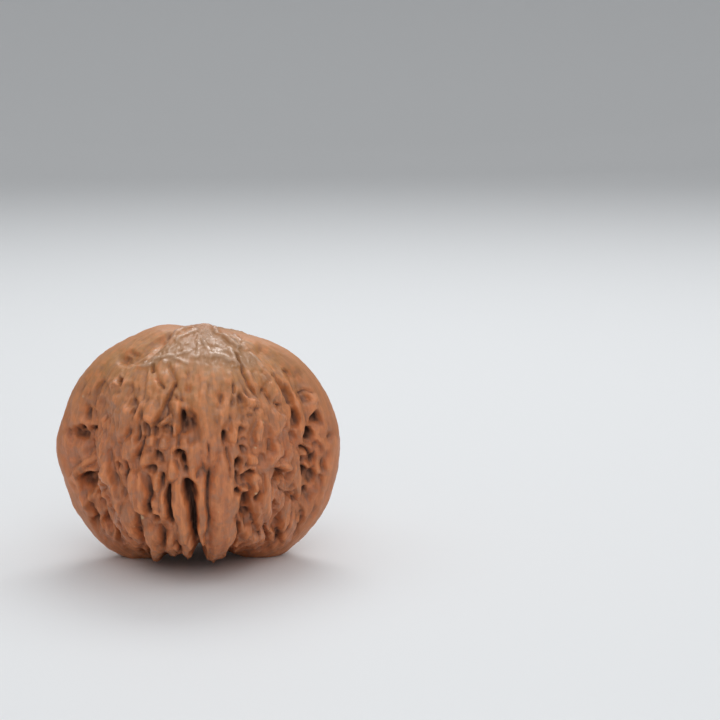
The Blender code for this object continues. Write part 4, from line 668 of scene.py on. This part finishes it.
def fibre_ribs(shell):
    """Ribs from tip to foot all round the nut, boldest below the middle, with slots between some."""
    fibre = meridian_noise(shell.bent_ways, 3.4, 11.0, 5.1)
    fibre += 0.4 * meridian_noise(shell.bent_ways, 1.7, 5.0, 1.7)
    low = smooth(24.0, 8.0, shell.points[:, 2])
    clear = smooth(0.5, 5.0, shell.points[:, 2])
    rib = np.minimum(np.sqrt(fibre**2 + 0.0025), 0.6) - 0.2
    slot = np.exp(-((fibre / 0.12) ** 2)) * smooth(-0.05, 0.3, noise_at(shell.points, 4.5, 21.0))
    return shell.rough * (0.9 + 0.85 * low) * (RIB_TALL * rib - SLOT_DEEP * slot) * (0.4 + 0.6 * clear)


def cell_net(shell):
    """A net of low walls with hollows between them."""
    gap, chance = cell_walls(shell.points + 0.6 * shell.drift + 0.15 * shell.flutter, 3.0, 1.7, 4.4)
    sunk = smooth(0.0, 0.5, gap) * smooth(0.0, 0.7, chance)
    return -NET_DEEP * sunk * shell.rough * (1 - 0.6 * shell.front)


def facets(shell):
    """Flat-faced unevenness everywhere: sharp creases, and sharp edges between them."""
    crease = np.abs(noise_at(shell.points + 0.3 * shell.flutter, 2.0, 61.0, 2.0)) - 0.2
    edge = 0.2 - np.abs(noise_at(shell.points + 0.3 * shell.flutter, 2.7, 71.0, 2.4))
    return (CREASE_DEEP * crease + EDGE_TALL * edge) * (0.15 + 0.85 * shell.rough)


def front_ribs(shell):
    """Height of the listed ribs, and how far they smooth what lies under them."""
    height = tallest(shell.bent_across, shell.bent_up, RIBS, flat_topped, RIB_RISE)
    return height * shell.front, np.minimum(1.4 * height, 1.0) * shell.front


def front_grooves(shell):
    """Depth of the listed grooves and cracks."""
    depth = tallest(shell.bent_across, shell.bent_up, GROOVES, sharp_edged, LINE_RISE)
    across, up = shell.across + 0.2 * shell.flutter[:, 0], shell.up + 0.2 * shell.flutter[:, 2]
    return np.maximum(depth, tallest(across, up, CRACKS, rounded, LINE_RISE)) * shell.front


def front_pits(shell):
    """Depth of the listed pits, and the raised lip round them."""
    depth = np.zeros(len(shell.points))
    lip = np.zeros(len(shell.points))
    for across, up, half_width, half_height, lean, deep, steep in PITS:
        sideways, upwards = leaned(shell.bent_across, shell.bent_up, (across, up), lean)
        sideways, upwards = sideways / half_width, upwards / half_height
        depth = np.maximum(depth, deep * hollow(sideways, upwards, shell.ragged, steep))
        ring = (np.hypot(sideways, upwards) + shell.ragged - 1.6) / 0.5
        lip = np.maximum(lip, LIP_SHARE * min(deep, 2.0) * np.exp(-(ring**2)))
    seen = shell.front * (1 - 0.9 * shell.rim)
    return depth * seen, lip * seen * smooth(0.8, 0.0, depth)


def seeded_pits(shell):
    """Depth of the pits on the sides that the photo doesn't show, by a seeded draw."""
    draw = np.random.default_rng(PIT_SEED)
    turns = np.arange(PIT_COUNT) + 0.5
    rise = 1 - 2 * turns / PIT_COUNT
    angle = turns * math.pi * (3 - math.sqrt(5))
    level = np.sqrt(1 - rise**2)
    ways = np.stack([level * np.cos(angle), level * np.sin(angle), rise], 1)
    centres, normals = form_and_normals(unit(ways + draw.normal(0, 0.055, ways.shape)))
    half_widths = 1.05 * draw.uniform(0.7, 1.2, PIT_COUNT) ** 2
    half_heights = half_widths * draw.uniform(1.4, 3.2, PIT_COUNT)
    depths = half_widths * draw.uniform(1.05, 1.95, PIT_COUNT)
    hidden = front_share(centres, normals) < 0.4
    kept = hidden & (np.abs(centres[:, 1]) > 2.8) & (centres[:, 2] < 34.5)
    bent = shell.points + 0.5 * shell.drift + 0.2 * shell.flutter
    depth = np.zeros(len(bent))
    for pit in np.flatnonzero(kept):
        offset = bent - centres[pit]
        near = np.flatnonzero(dot(offset, offset) < (2.2 * half_heights[pit]) ** 2)
        rising = unit(np.array((0.0, 0.0, 1.0)) - normals[pit, 2] * normals[pit])
        sideways = offset[near] @ np.cross(rising, normals[pit]) / half_widths[pit]
        upwards = offset[near] @ rising / half_heights[pit]
        made = depths[pit] * hollow(sideways, upwards, shell.ragged[near], 0.7)
        depth[near] = np.maximum(depth[near], made)
    return depth * (1 - shell.front) * (1 - 0.9 * shell.rim) * (1 - smooth(29.0, 36.0, shell.points[:, 2]))


def folds(shell, strokes, strength):
    """Height of thin raised lines, worn away here and there."""
    height = tallest(shell.bent_across, shell.bent_up, strokes, rounded, LINE_RISE)
    worn = np.clip(0.85 + 0.5 * noise_at(shell.points, 2.2, 51.0), 0.3, 1.2)
    return height * worn * strength


def relief(shell):
    """Height of the shell over its plain form, in mm outwards."""
    ribs, calm = front_ribs(shell)
    ground = (fibre_ribs(shell) + cell_net(shell)) * (1 - 0.7 * calm)
    bed = BED_DEEP * shell.front * shell.rough * (1 - calm) * smooth(33.0, 22.0, shell.up)
    dips = shell.front * tallest(shell.across, shell.up, SCOOPS, rounded)
    shown, lip = front_pits(shell)
    pits = np.maximum(shown, front_grooves(shell)) + seeded_pits(shell)
    height = (ground + ribs - bed - dips) * (1 - 0.6 * smooth(0.3, 1.2, pits)) + lip - pits
    height += facets(shell) + folds(shell, VEINS, shell.front * (1 - 0.9 * shell.rim))
    return height + folds(shell, CAP_FOLDS, smooth(1.0, -1.5, shell.points[:, 1]))


def worn_into(shell, height):
    """Points of the finished relief: deep places also reach up under the edge above them."""
    depth = np.maximum(-height, 0.0)
    rising = np.array((0.0, 0.0, 1.0)) - shell.normals * shell.normals[:, 2:]
    reach = UNDERCUT * depth * smooth(0.5, 1.5, depth)
    return shell.points + shell.outwards * height[:, None] + rising * reach[:, None]


def cap_share(shell):
    """1 in the paler cap round the tip, 0 outside it."""
    across, up = shell.across + 0.8 * shell.drift[:, 0], shell.up + 0.8 * shell.drift[:, 1]
    return tallest(across + 0.3 * shell.flutter[:, 0], up + 0.3 * shell.flutter[:, 1], CAP_SHAPE, rounded)


def fold_share(shell):
    """1 on the crest of each fold of the cap, whatever its height, 0 off the folds and behind the seam."""
    crests = [(line, 1.0) for line, _ in CAP_FOLDS]
    ahead = smooth(1.0, -1.5, shell.points[:, 1])
    return ahead * tallest(shell.bent_across, shell.bent_up, crests, rounded, LINE_RISE)


def glint_speck_share(shell):
    """1 in the middle of each pale spot painted as a highlight on a rib tip, 0 off them."""
    share = np.zeros(len(shell.points))
    for across, up, half_width in GLINT_SPECKS:
        away = np.hypot(shell.across - across, shell.up - up) / half_width
        share = np.maximum(share, rounded(away) * shell.front)
    return share


def fine_relief(shell):
    """What only the fine shell has: ribbons and threads of fibre, grooves, and the cap's creased skin."""
    wavy_ways = shell.ways + 0.02 * shell.drift + 0.012 * shell.flutter
    ribbon = 1 - 2.4 * np.abs(meridian_noise(wavy_ways, RIBBON_WIDE, RIBBON_LONG, 9.1))
    thread = meridian_noise(shell.bent_ways, THREAD_WIDE, THREAD_LONG, 2.1)
    ribbons = np.clip(ribbon, 0.0, 1.0) ** 2 * (1 - 0.6 * shell.rim) * (1 - 0.75 * shell.high)
    fibres = RIBBON_TALL * ribbons + THREAD_TALL * thread * (1 - 0.5 * shell.high)
    skin = 1 - 2.4 * np.abs(meridian_noise(shell.ways + 0.03 * shell.flutter, SKIN_WIDE, SKIN_LONG, 6.3))
    fibres += SKIN_TALL * np.clip(skin, 0.0, 1.0) * cap_share(shell)
    fibres -= shell.front * tallest(shell.bent_across, shell.bent_up, FINE_GROOVES, rounded, LINE_RISE)
    bent = shell.points + 0.2 * shell.flutter
    crumple = np.abs(noise_at(bent, CRUMPLE_WIDE, 81.0, 1.8)) - 0.3
    wrinkle = np.abs(noise_at(bent, WRINKLE_WIDE, 91.0, 2.2)) - 0.3
    return fibres + (CRUMPLE_TALL * crumple + WRINKLE_TALL * wrinkle) * (0.25 + 0.75 * shell.rough)


def fitted(points, box):
    """The points moved over the origin and shrunk, where they pass it, into a box in metres."""
    low, high = np.array(box[0]), np.array(box[1])
    own_low, own_high = points.min(axis=0), points.max(axis=0)
    own_low[2] = 0.0
    room = np.minimum((high - low) / (own_high - own_low), 1.0)
    middle = np.array(((own_low[0] + own_high[0]) / 2, (own_low[1] + own_high[1]) / 2, 0.0))
    goal = np.array(((low[0] + high[0]) / 2, (low[1] + high[1]) / 2, low[2]))
    return (points - middle) * room + goal


def round_cube(cuts):
    """A mesh of even squares over a ball, and the unit direction of each of its points."""
    ball = bmesh.new()
    bmesh.ops.create_cube(ball, size=2.0)
    bmesh.ops.subdivide_edges(ball, edges=ball.edges[:], cuts=cuts, use_grid_fill=True)
    corners = np.array([corner.co[:] for corner in ball.verts])
    return ball, unit(np.tan(corners * math.pi / 4))


def spread(values, pairs, passes):
    """The values after each point has taken its neighbours' mean a number of times."""
    count = np.bincount(pairs.ravel(), minlength=len(values))[:, None]
    for _ in range(passes):
        total = np.zeros_like(values)
        for axis in range(values.shape[1]):
            total[:, axis] = np.bincount(pairs[:, 0], values[pairs[:, 1], axis], len(values))
            total[:, axis] += np.bincount(pairs[:, 1], values[pairs[:, 0], axis], len(values))
        values = total / count
    return values


def cavities(mesh, points, normals):
    """How far each point lies under the surface round it, in mm, read finely and broadly."""
    pairs = np.empty(len(mesh.edges) * 2, np.int32)
    mesh.edges.foreach_get("vertices", pairs)
    pairs = pairs.reshape(-1, 2)
    return [dot(spread(points, pairs, passes) - points, normals) / MM for passes in CAVITY_PASSES]


def keep_on_points(mesh, name, values):
    """Stores one number, or one vector, for each point of a mesh."""
    kind, field = ("FLOAT", "value") if values.ndim == 1 else ("FLOAT_VECTOR", "vector")
    mesh.attributes.new(name, kind, "POINT").data.foreach_set(field, values.astype(np.float32).ravel())


def fibre_places(ways):
    """Where each point lies round the nut and along it, in mm, for the grain that runs tip to foot."""
    turn = np.arctan2(ways[:, 1], ways[:, 0])
    height = np.arcsin(np.clip(ways[:, 2], -1.0, 1.0))
    return MEAN_RADIUS * np.stack([np.cos(turn), np.sin(turn), height], 1)


class Wire:
    """An output of a node that can be used in a formula."""

    def __init__(self, graph, socket):
        self.graph = graph
        self.socket = socket

    def maths(self, operation, first, second):
        return self.graph.node("ShaderNodeMath", {"operation": operation}, {0: first, 1: second})

    def __add__(self, other):
        return self.maths("ADD", self, other)

    def __radd__(self, other):
        return self.maths("ADD", other, self)

    def __sub__(self, other):
        return self.maths("SUBTRACT", self, other)

    def __rsub__(self, other):
        return self.maths("SUBTRACT", other, self)

    def __mul__(self, other):
        return self.maths("MULTIPLY", self, other)

    def __rmul__(self, other):
        return self.maths("MULTIPLY", other, self)

    def eased(self, low, high):
        """0 at low and 1 at high, with an easy start and end."""
        settings = {"interpolation_type": "SMOOTHSTEP", "clamp": True}
        inputs = {"Value": self, "From Min": low, "From Max": high}
        return self.graph.node("ShaderNodeMapRange", settings, inputs)


class Graph:
    """The nodes of one material."""

    def __init__(self, name):
        self.material = bpy.data.materials.new(name)
        self.material.use_nodes = True
        self.tree = self.material.node_tree
        self.surface = self.tree.nodes["Principled BSDF"]

    def feed(self, socket, value):
        if isinstance(value, Wire):
            self.tree.links.new(value.socket, socket)
        else:
            socket.default_value = value

    def node(self, kind, settings, inputs, output=0):
        """Adds a node with its settings, then the values or wires of its inputs."""
        made = self.tree.nodes.new(kind)
        for name, value in settings.items():
            setattr(made, name, value)
        for name, value in inputs.items():
            self.feed(made.inputs[name], value)
        return Wire(self, made.outputs[output])

    def kept(self, name, output="Fac"):
        """What keep_on_points stored under a name."""
        return self.node("ShaderNodeAttribute", {"attribute_name": name}, {}, output)

    def noise(self, place, scale, detail, roughness):
        inputs = {"Vector": place, "Scale": scale, "Detail": detail, "Roughness": roughness}
        return self.node("ShaderNodeTexNoise", {}, inputs)

    def fibre_noise(self, stretch, detail, roughness):
        """Noise drawn out along the shell's fibres."""
        inputs = {0: self.kept("fibre", "Vector"), 1: stretch}
        place = self.node("ShaderNodeVectorMath", {"operation": "MULTIPLY"}, inputs)
        return self.noise(place, 1.0, detail, roughness)

    def mixed(self, share, first, second, blend="MIX"):
        """One colour over another, by a share from 0 to 1."""
        settings = {"data_type": "RGBA", "blend_type": blend, "clamp_factor": True}
        return self.node("ShaderNodeMix", settings, {0: share, 6: first, 7: second}, 2)

    def bump(self, height, distance, strength, normal=None):
        inputs = {"Height": height, "Distance": distance, "Strength": strength}
        if normal is not None:
            inputs["Normal"] = normal
        return self.node("ShaderNodeBump", {}, inputs)

    def finish(self, **inputs):
        for name, value in inputs.items():
            self.feed(self.surface.inputs[name.replace("_", " ")], value)
        return self.material


class ShellMaps:
    """What the shell's colours, gloss and bumps share: stored values, noises and masks made of them."""

    def __init__(self, graph):
        self.place = graph.node("ShaderNodeTexCoord", {}, {}, "Object")
        self.level = graph.node("ShaderNodeSeparateXYZ", {}, {"Vector": self.place}, "Z")
        self.fine_cavity, self.broad_cavity = graph.kept("fine_cavity"), graph.kept("broad_cavity")
        self.cap, self.rim = graph.kept("cap"), graph.kept("rim")
        self.patches = graph.noise(self.place, PATCH_SCALE, 3.0, 0.6)
        self.blotches = graph.noise(self.place, BLOTCH_SCALE, 3.0, 0.6)
        self.mottle = graph.noise(self.place, MOTTLE_SCALE, 2.0, 0.5)
        self.streaks = graph.fibre_noise(STREAK_STRETCH, 3.0, 0.6)
        self.threads = graph.fibre_noise(THREAD_STRETCH, 2.0, 0.55)
        # Broad hollows take a greyer brown: partly the shell's own tone, partly painted shade.
        self.shallow = (self.broad_cavity + (self.patches - 0.5) * 0.9).eased(0.1, 0.9)
        sunk = self.broad_cavity + self.fine_cavity * 1.5
        # Painted shade with dirt: where the pits are deepest, their darker dirt and the shade in them are
        # painted on.
        self.deep = (sunk + (self.blotches - 0.5) * 0.3).eased(0.7, 2.3)
        self.pale = (self.cap + (self.streaks - 0.5) * 0.5).eased(0.0, 1.0)
        # Pale skin on the crests of the cap's folds: partly its own husk skin, partly painted highlights.
        raised = (self.fine_cavity * -1.0).eased(0.0, 0.12)
        glaze_and_glint_sum = graph.kept("fold") * 0.4 + self.cap * (raised * 0.5 + 0.15)
        self.glaze_and_glint = (glaze_and_glint_sum + (self.mottle - 0.5)).eased(0.25, 0.75)


def body_colour(graph, maps, looks):
    """Browns of the shell: its ground, then crests, hollows and pits, the hollows and pits darkened partly
    as painted shade, and last its cap, with painted highlights on its folds, and seam.
    """
    upper = maps.level + (maps.patches - 0.5) * 0.012
    body = graph.mixed(maps.patches.eased(0.35, 0.65), looks.ground_colour, looks.red_colour)
    body = graph.mixed(upper.eased(*TAN_HEIGHTS), body, looks.tan_colour)
    bands = graph.fibre_noise(BAND_STRETCH, 2.0, 0.5).eased(0.44, 0.6)
    body = graph.mixed(bands * maps.level.eased(*TAN_HEIGHTS) * 0.35, body, looks.crest_colour)
    crest = (maps.broad_cavity * -1.0 + (maps.blotches - 0.5) * 0.25).eased(0.0, 0.65)
    rubbed = crest * (0.45 + maps.streaks.eased(0.4, 0.62) * 0.4)
    body = graph.mixed(rubbed, body, looks.crest_colour)
    # Greyer brown in the broad hollows: partly the shell's own tone, partly painted shade.
    body = graph.mixed(maps.shallow * 0.75, body, looks.grey_tone_and_shade_colour)
    # Darker brown in the fine grooves: partly the shell's own tone, partly painted shade.
    groove_tone_and_shade = (maps.fine_cavity + (maps.blotches - 0.5) * 0.08).eased(0.02, 0.3)
    body = graph.mixed(groove_tone_and_shade * 0.55, body, looks.groove_tone_and_shade_colour)
    mottled = 0.42 - maps.rim * 0.27
    body = graph.mixed(maps.mottle.eased(0.5, 0.66) * mottled, body, looks.grey_tone_and_shade_colour)
    body = graph.mixed(maps.mottle.eased(0.48, 0.34) * mottled, body, looks.crest_colour)
    # Painted shade: near-black brown at the bottom of pits, over their own darker dirt.
    body = graph.mixed(maps.deep, body, looks.pit_dirt_and_shade_colour)
    body = graph.mixed(maps.pale * 0.85, body, looks.cap_colour)
    # Painted highlights on the cap's fold crests, over their own pale husk skin.
    body = graph.mixed(maps.glaze_and_glint * 0.42, body, looks.glaze_and_glint_colour)
    return graph.mixed(maps.rim * 0.45, body, looks.seam_colour)


def grained(graph, maps, looks, body):
    """The body's colour with its grain from tip to foot, its pale flecks, and pale specks on some rib tips
    painted as highlights.
    """
    calm = (1 - maps.pale * 0.6) * (1 - maps.level.eased(*CALM_HEIGHTS) * 0.8)
    streaked = 0.12 - maps.streaks.eased(0.32, 0.68) * 0.19 - maps.threads.eased(0.35, 0.65) * 0.04
    grain = 0.98 - streaked * calm
    grey = graph.node("ShaderNodeCombineColor", {}, {0: grain, 1: grain, 2: grain})
    body = graph.mixed(1.0, body, grey, "MULTIPLY")
    cells = {"Vector": maps.place, "Scale": FLECK_SCALE}
    from_fleck = graph.node("ShaderNodeTexVoronoi", {}, cells, "Distance")
    flecks = (0.16 - from_fleck).eased(0.0, 0.06) * maps.blotches.eased(0.58, 0.66) * (1 - maps.deep)
    body = graph.mixed(flecks * 0.5, body, looks.fleck_and_glint_colour)
    # Painted highlights: pale specks on the tips of some ribs.
    return graph.mixed(graph.kept("glint_speck").eased(0.2, 0.8) * 0.9, body, looks.fleck_and_glint_colour)


def shell_bumps(graph, maps, looks):
    """Fine wrinkles, calmer on the cap, with grit over them."""
    wrinkles = graph.fibre_noise(WRINKLE_STRETCH, 4.0, 0.6)
    below_cap = 1 - maps.level.eased(*CALM_HEIGHTS) * 0.6
    wrinkled = (wrinkles * 0.5 + maps.threads * 0.15) * below_cap + maps.blotches * 0.25
    normal = graph.bump(wrinkled, WRINKLE_BUMP, looks.wrinkle_strength)
    grit = graph.noise(maps.place, GRIT_SCALE, 2.0, 0.6)
    return graph.bump(grit, GRIT_BUMP, GRIT_STRENGTH, normal)


def shell_material(looks):
    """Satin nutshell: light crests, mauve and dark hollows partly darkened as painted shade, a pale cap
    with painted highlights on its folds, pale specks painted as highlights on some rib tips, and grain from
    tip to foot.
    """
    graph = Graph("walnut_shell")
    maps = ShellMaps(graph)
    matt = maps.shallow * 0.12 + maps.deep * 0.2 + (maps.blotches - 0.5) * 0.16
    return graph.finish(
        Base_Color=grained(graph, maps, looks, body_colour(graph, maps, looks)),
        Roughness=looks.roughness + matt - maps.glaze_and_glint * 0.16 - maps.cap * 0.08,
        Normal=shell_bumps(graph, maps, looks),
        Coat_Weight=0.1 + maps.glaze_and_glint * 0.45 + maps.pale * 0.08,
        Coat_Roughness=0.24,
        Specular_IOR_Level=0.5,
    )


def colour_setting(name, description, default):
    """A colour for the panel, with its red, green and blue."""
    shown = {"name": name, "description": description, "subtype": "COLOR"}
    return bpy.props.FloatVectorProperty(default=(*default, 1.0), size=4, **shown)


class ShellLooks(bpy.types.PropertyGroup):
    """Sizes and colours of the shell."""

    squares_across: bpy.props.IntProperty(
        name="Squares across", description="Squares along one side", default=128, min=16, max=128
    )
    fineness: bpy.props.FloatProperty(
        name="Fine relief", description="Strength of the finest relief", default=1.0, subtype="FACTOR"
    )
    wrinkle_strength: bpy.props.FloatProperty(
        name="Wrinkles", description="Strength of the finest wrinkles", default=0.9, subtype="FACTOR"
    )
    roughness: bpy.props.FloatProperty(
        name="Roughness", description="Roughness of the crests", default=0.48, subtype="FACTOR"
    )
    ground_colour: colour_setting("Ground", "Main brown of the shell", (0.54, 0.205, 0.088))
    red_colour: colour_setting("Red patches", "Redder patches of the shell", (0.55, 0.18, 0.07))
    crest_colour: colour_setting("Crests", "Rubbed tops of the ribs", (0.75, 0.268, 0.098))
    tan_colour: colour_setting("Upper tan", "Yellower brown of the upper part", (0.5, 0.235, 0.088))
    # Greyer brown of the broad hollows, partly painted shade there, and of the grey mottles.
    grey_tone_and_shade_colour: colour_setting("Hollows", "Greyer brown of shallow hollows", (0.37, 0.195, 0.125))
    # Darker brown of the fine grooves: partly the shell's own tone, partly painted shade.
    groove_tone_and_shade_colour: colour_setting("Grooves", "Brown of the fine grooves", (0.24, 0.1, 0.056))
    # Painted shade over dirt: the near-black brown at the bottom of pits.
    pit_dirt_and_shade_colour: colour_setting("Deep pits", "Dark brown at the bottom of pits", (0.1, 0.045, 0.028))
    cap_colour: colour_setting("Cap", "Paler tan round the tip", (0.37, 0.178, 0.07))
    # Pale husk skin on the cap's folds, made paler still as painted highlights.
    glaze_and_glint_colour: colour_setting("Glaze", "Pale skin on the cap's folds", (0.66, 0.44, 0.3))
    seam_colour: colour_setting("Seam", "Smooth band along the seam", (0.55, 0.225, 0.1))
    # Pale flecks on the crests, and the pale specks painted as highlights on some rib tips.
    fleck_and_glint_colour: colour_setting("Flecks", "Small pale flecks on the crests", (0.75, 0.52, 0.3))


class StageLooks(bpy.types.PropertyGroup):
    """Floor and lights."""

    floor_colour: colour_setting("Floor", "Colour of the floor", (0.78, 0.8, 0.82))
    top_power: bpy.props.FloatProperty(
        name="Top light", description="Power of the soft light overhead", default=2.5, unit="POWER"
    )
    back_power: bpy.props.FloatProperty(
        name="Back light", description="Power of the light that glints on top", default=0.75, unit="POWER"
    )
    front_power: bpy.props.FloatProperty(
        name="Front light", description="Power of the soft light in front", default=0.85, unit="POWER"
    )
    sky_strength: bpy.props.FloatProperty(
        name="Sky", description="Strength of the light from all round", default=0.31
    )


class WALNUT_OT_shell(bpy.types.Operator):
    """Builds the fine shell in place of the plain solid"""

    bl_idname = "walnut.shell"
    bl_label = "Walnut shell"

    def execute(self, context):
        looks = context.scene.walnut_shell
        ball, ways = round_cube(looks.squares_across - 1)
        shell = Shell(ways)
        height = relief(shell)
        points = worn_into(shell, height)
        points += shell.normals * (looks.fineness * fine_relief(shell))[:, None]
        points[:, 2] = np.maximum(points[:, 2], 0.0)
        points = fitted(points * MM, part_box("walnut"))
        for corner, point in zip(ball.verts, points):
            corner.co = point
        mesh = bpy.data.meshes.new("walnut_shell")
        bmesh.ops.recalc_face_normals(ball, faces=ball.faces[:])
        ball.to_mesh(mesh)
        ball.free()
        mesh.shade_smooth()
        fine, broad = cavities(mesh, points, shell.normals)
        for name, values in (
            ("fibre", fibre_places(ways)),
            ("fine_cavity", fine),
            ("broad_cavity", broad),
            ("cap", cap_share(shell)),
            ("fold", fold_share(shell)),
            ("glint_speck", glint_speck_share(shell)),
            ("rim", shell.rim),
        ):
            keep_on_points(mesh, name, values)
        mesh.materials.append(shell_material(looks))
        piece = bpy.data.objects.new("walnut_shell", mesh)
        context.collection.objects.link(piece)
        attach(piece, "root")
        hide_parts("walnut")
        return {"FINISHED"}


def plain_material(name, colour, roughness):
    graph = Graph(name)
    return graph.finish(Base_Color=colour, Roughness=roughness)


def soft_light(name, place, size, power):
    """A rectangular lamp that looks at the nut's middle; all lengths in metres."""
    lamp = bpy.data.lights.new(name, "AREA")
    lamp.shape = "RECTANGLE"
    lamp.size, lamp.size_y = size
    lamp.energy = power
    holder = bpy.data.objects.new(name, lamp)
    holder.location = place
    holder.rotation_euler = (Vector(NUT_MIDDLE) - Vector(place)).to_track_quat("-Z", "Y").to_euler()
    bpy.context.collection.objects.link(holder)


def set_camera(scene):
    """The photo's own view: its eye, its level and its slight roll."""
    lens = bpy.data.cameras.new("photo_view")
    lens.angle = VIEW_ANGLE
    lens.clip_start = 0.01
    forward = Vector((0.0, math.cos(VIEW_DROP), -math.sin(VIEW_DROP)))
    level = forward.to_track_quat("-Z", "Y").to_matrix() @ Matrix.Rotation(-VIEW_ROLL, 3, "Z")
    holder = bpy.data.objects.new("photo_view", lens)
    holder.matrix_world = Matrix.Translation(Vector(PHOTO_EYE + CENTRED_BY) * MM) @ level.to_4x4()
    scene.collection.objects.link(holder)
    scene.camera = holder


class WALNUT_OT_stage(bpy.types.Operator):
    """Lays the pale floor, hangs the soft lights and sets the camera"""

    bl_idname = "walnut.stage"
    bl_label = "Stage"

    def execute(self, context):
        looks = context.scene.walnut_stage
        sheet = bmesh.new()
        bmesh.ops.create_grid(
            sheet, x_segments=FLOOR_SQUARES, y_segments=FLOOR_SQUARES, size=FLOOR_HALF_WIDTH
        )
        for corner in sheet.verts:
            corner.co.z = BACKDROP_TALL * smooth(*FLOOR_RISES, corner.co.xy.length)
        mesh = bpy.data.meshes.new("floor")
        sheet.to_mesh(mesh)
        sheet.free()
        mesh.shade_smooth()
        mesh.materials.append(plain_material("floor_white", looks.floor_colour, FLOOR_ROUGHNESS))
        floor = bpy.data.objects.new("floor", mesh)
        context.collection.objects.link(floor)
        floor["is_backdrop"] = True
        soft_light("top_light", TOP_LIGHT_PLACE, TOP_LIGHT_SIZE, looks.top_power)
        soft_light("back_light", BACK_LIGHT_PLACE, BACK_LIGHT_SIZE, looks.back_power)
        soft_light("front_light", FRONT_LIGHT_PLACE, FRONT_LIGHT_SIZE, looks.front_power)
        world = bpy.data.worlds.new("studio")
        world.use_nodes = True
        sky = world.node_tree.nodes["Background"]
        sky.inputs["Color"].default_value = (1.0, 1.0, 1.0, 1.0)
        sky.inputs["Strength"].default_value = looks.sky_strength
        context.scene.world = world
        context.scene.view_settings.view_transform = "Standard"
        set_camera(context.scene)
        return {"FINISHED"}


class WALNUT_PT_sidebar(bpy.types.Panel):
    """Lists the walnut and its stage"""

    bl_idname = "WALNUT_PT_sidebar"
    bl_label = "Walnut"
    bl_space_type = "VIEW_3D"
    bl_region_type = "UI"
    bl_category = "Walnut"

    def draw(self, context):
        for operator, looks in (
            (WALNUT_OT_shell, context.scene.walnut_shell),
            (WALNUT_OT_stage, context.scene.walnut_stage),
        ):
            box = self.layout.box()
            box.operator(operator.bl_idname)
            for name in looks.__annotations__:
                box.prop(looks, name)


CLASSES = (ShellLooks, StageLooks, WALNUT_OT_shell, WALNUT_OT_stage, WALNUT_PT_sidebar)


def register():
    for made in CLASSES:
        bpy.utils.register_class(made)
    bpy.types.Scene.walnut_shell = bpy.props.PointerProperty(type=ShellLooks)
    bpy.types.Scene.walnut_stage = bpy.props.PointerProperty(type=StageLooks)


def unregister():
    del bpy.types.Scene.walnut_stage
    del bpy.types.Scene.walnut_shell
    for made in reversed(CLASSES):
        bpy.utils.unregister_class(made)


def main():
    register()
    bpy.ops.walnut.shell()
    bpy.ops.walnut.stage()
    boxes = {"cad": CAD_BOX, "visual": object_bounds()}
    boxes = {name: [list(corner) for corner in box] for name, box in boxes.items()}


if __name__ == "__main__":
    main()
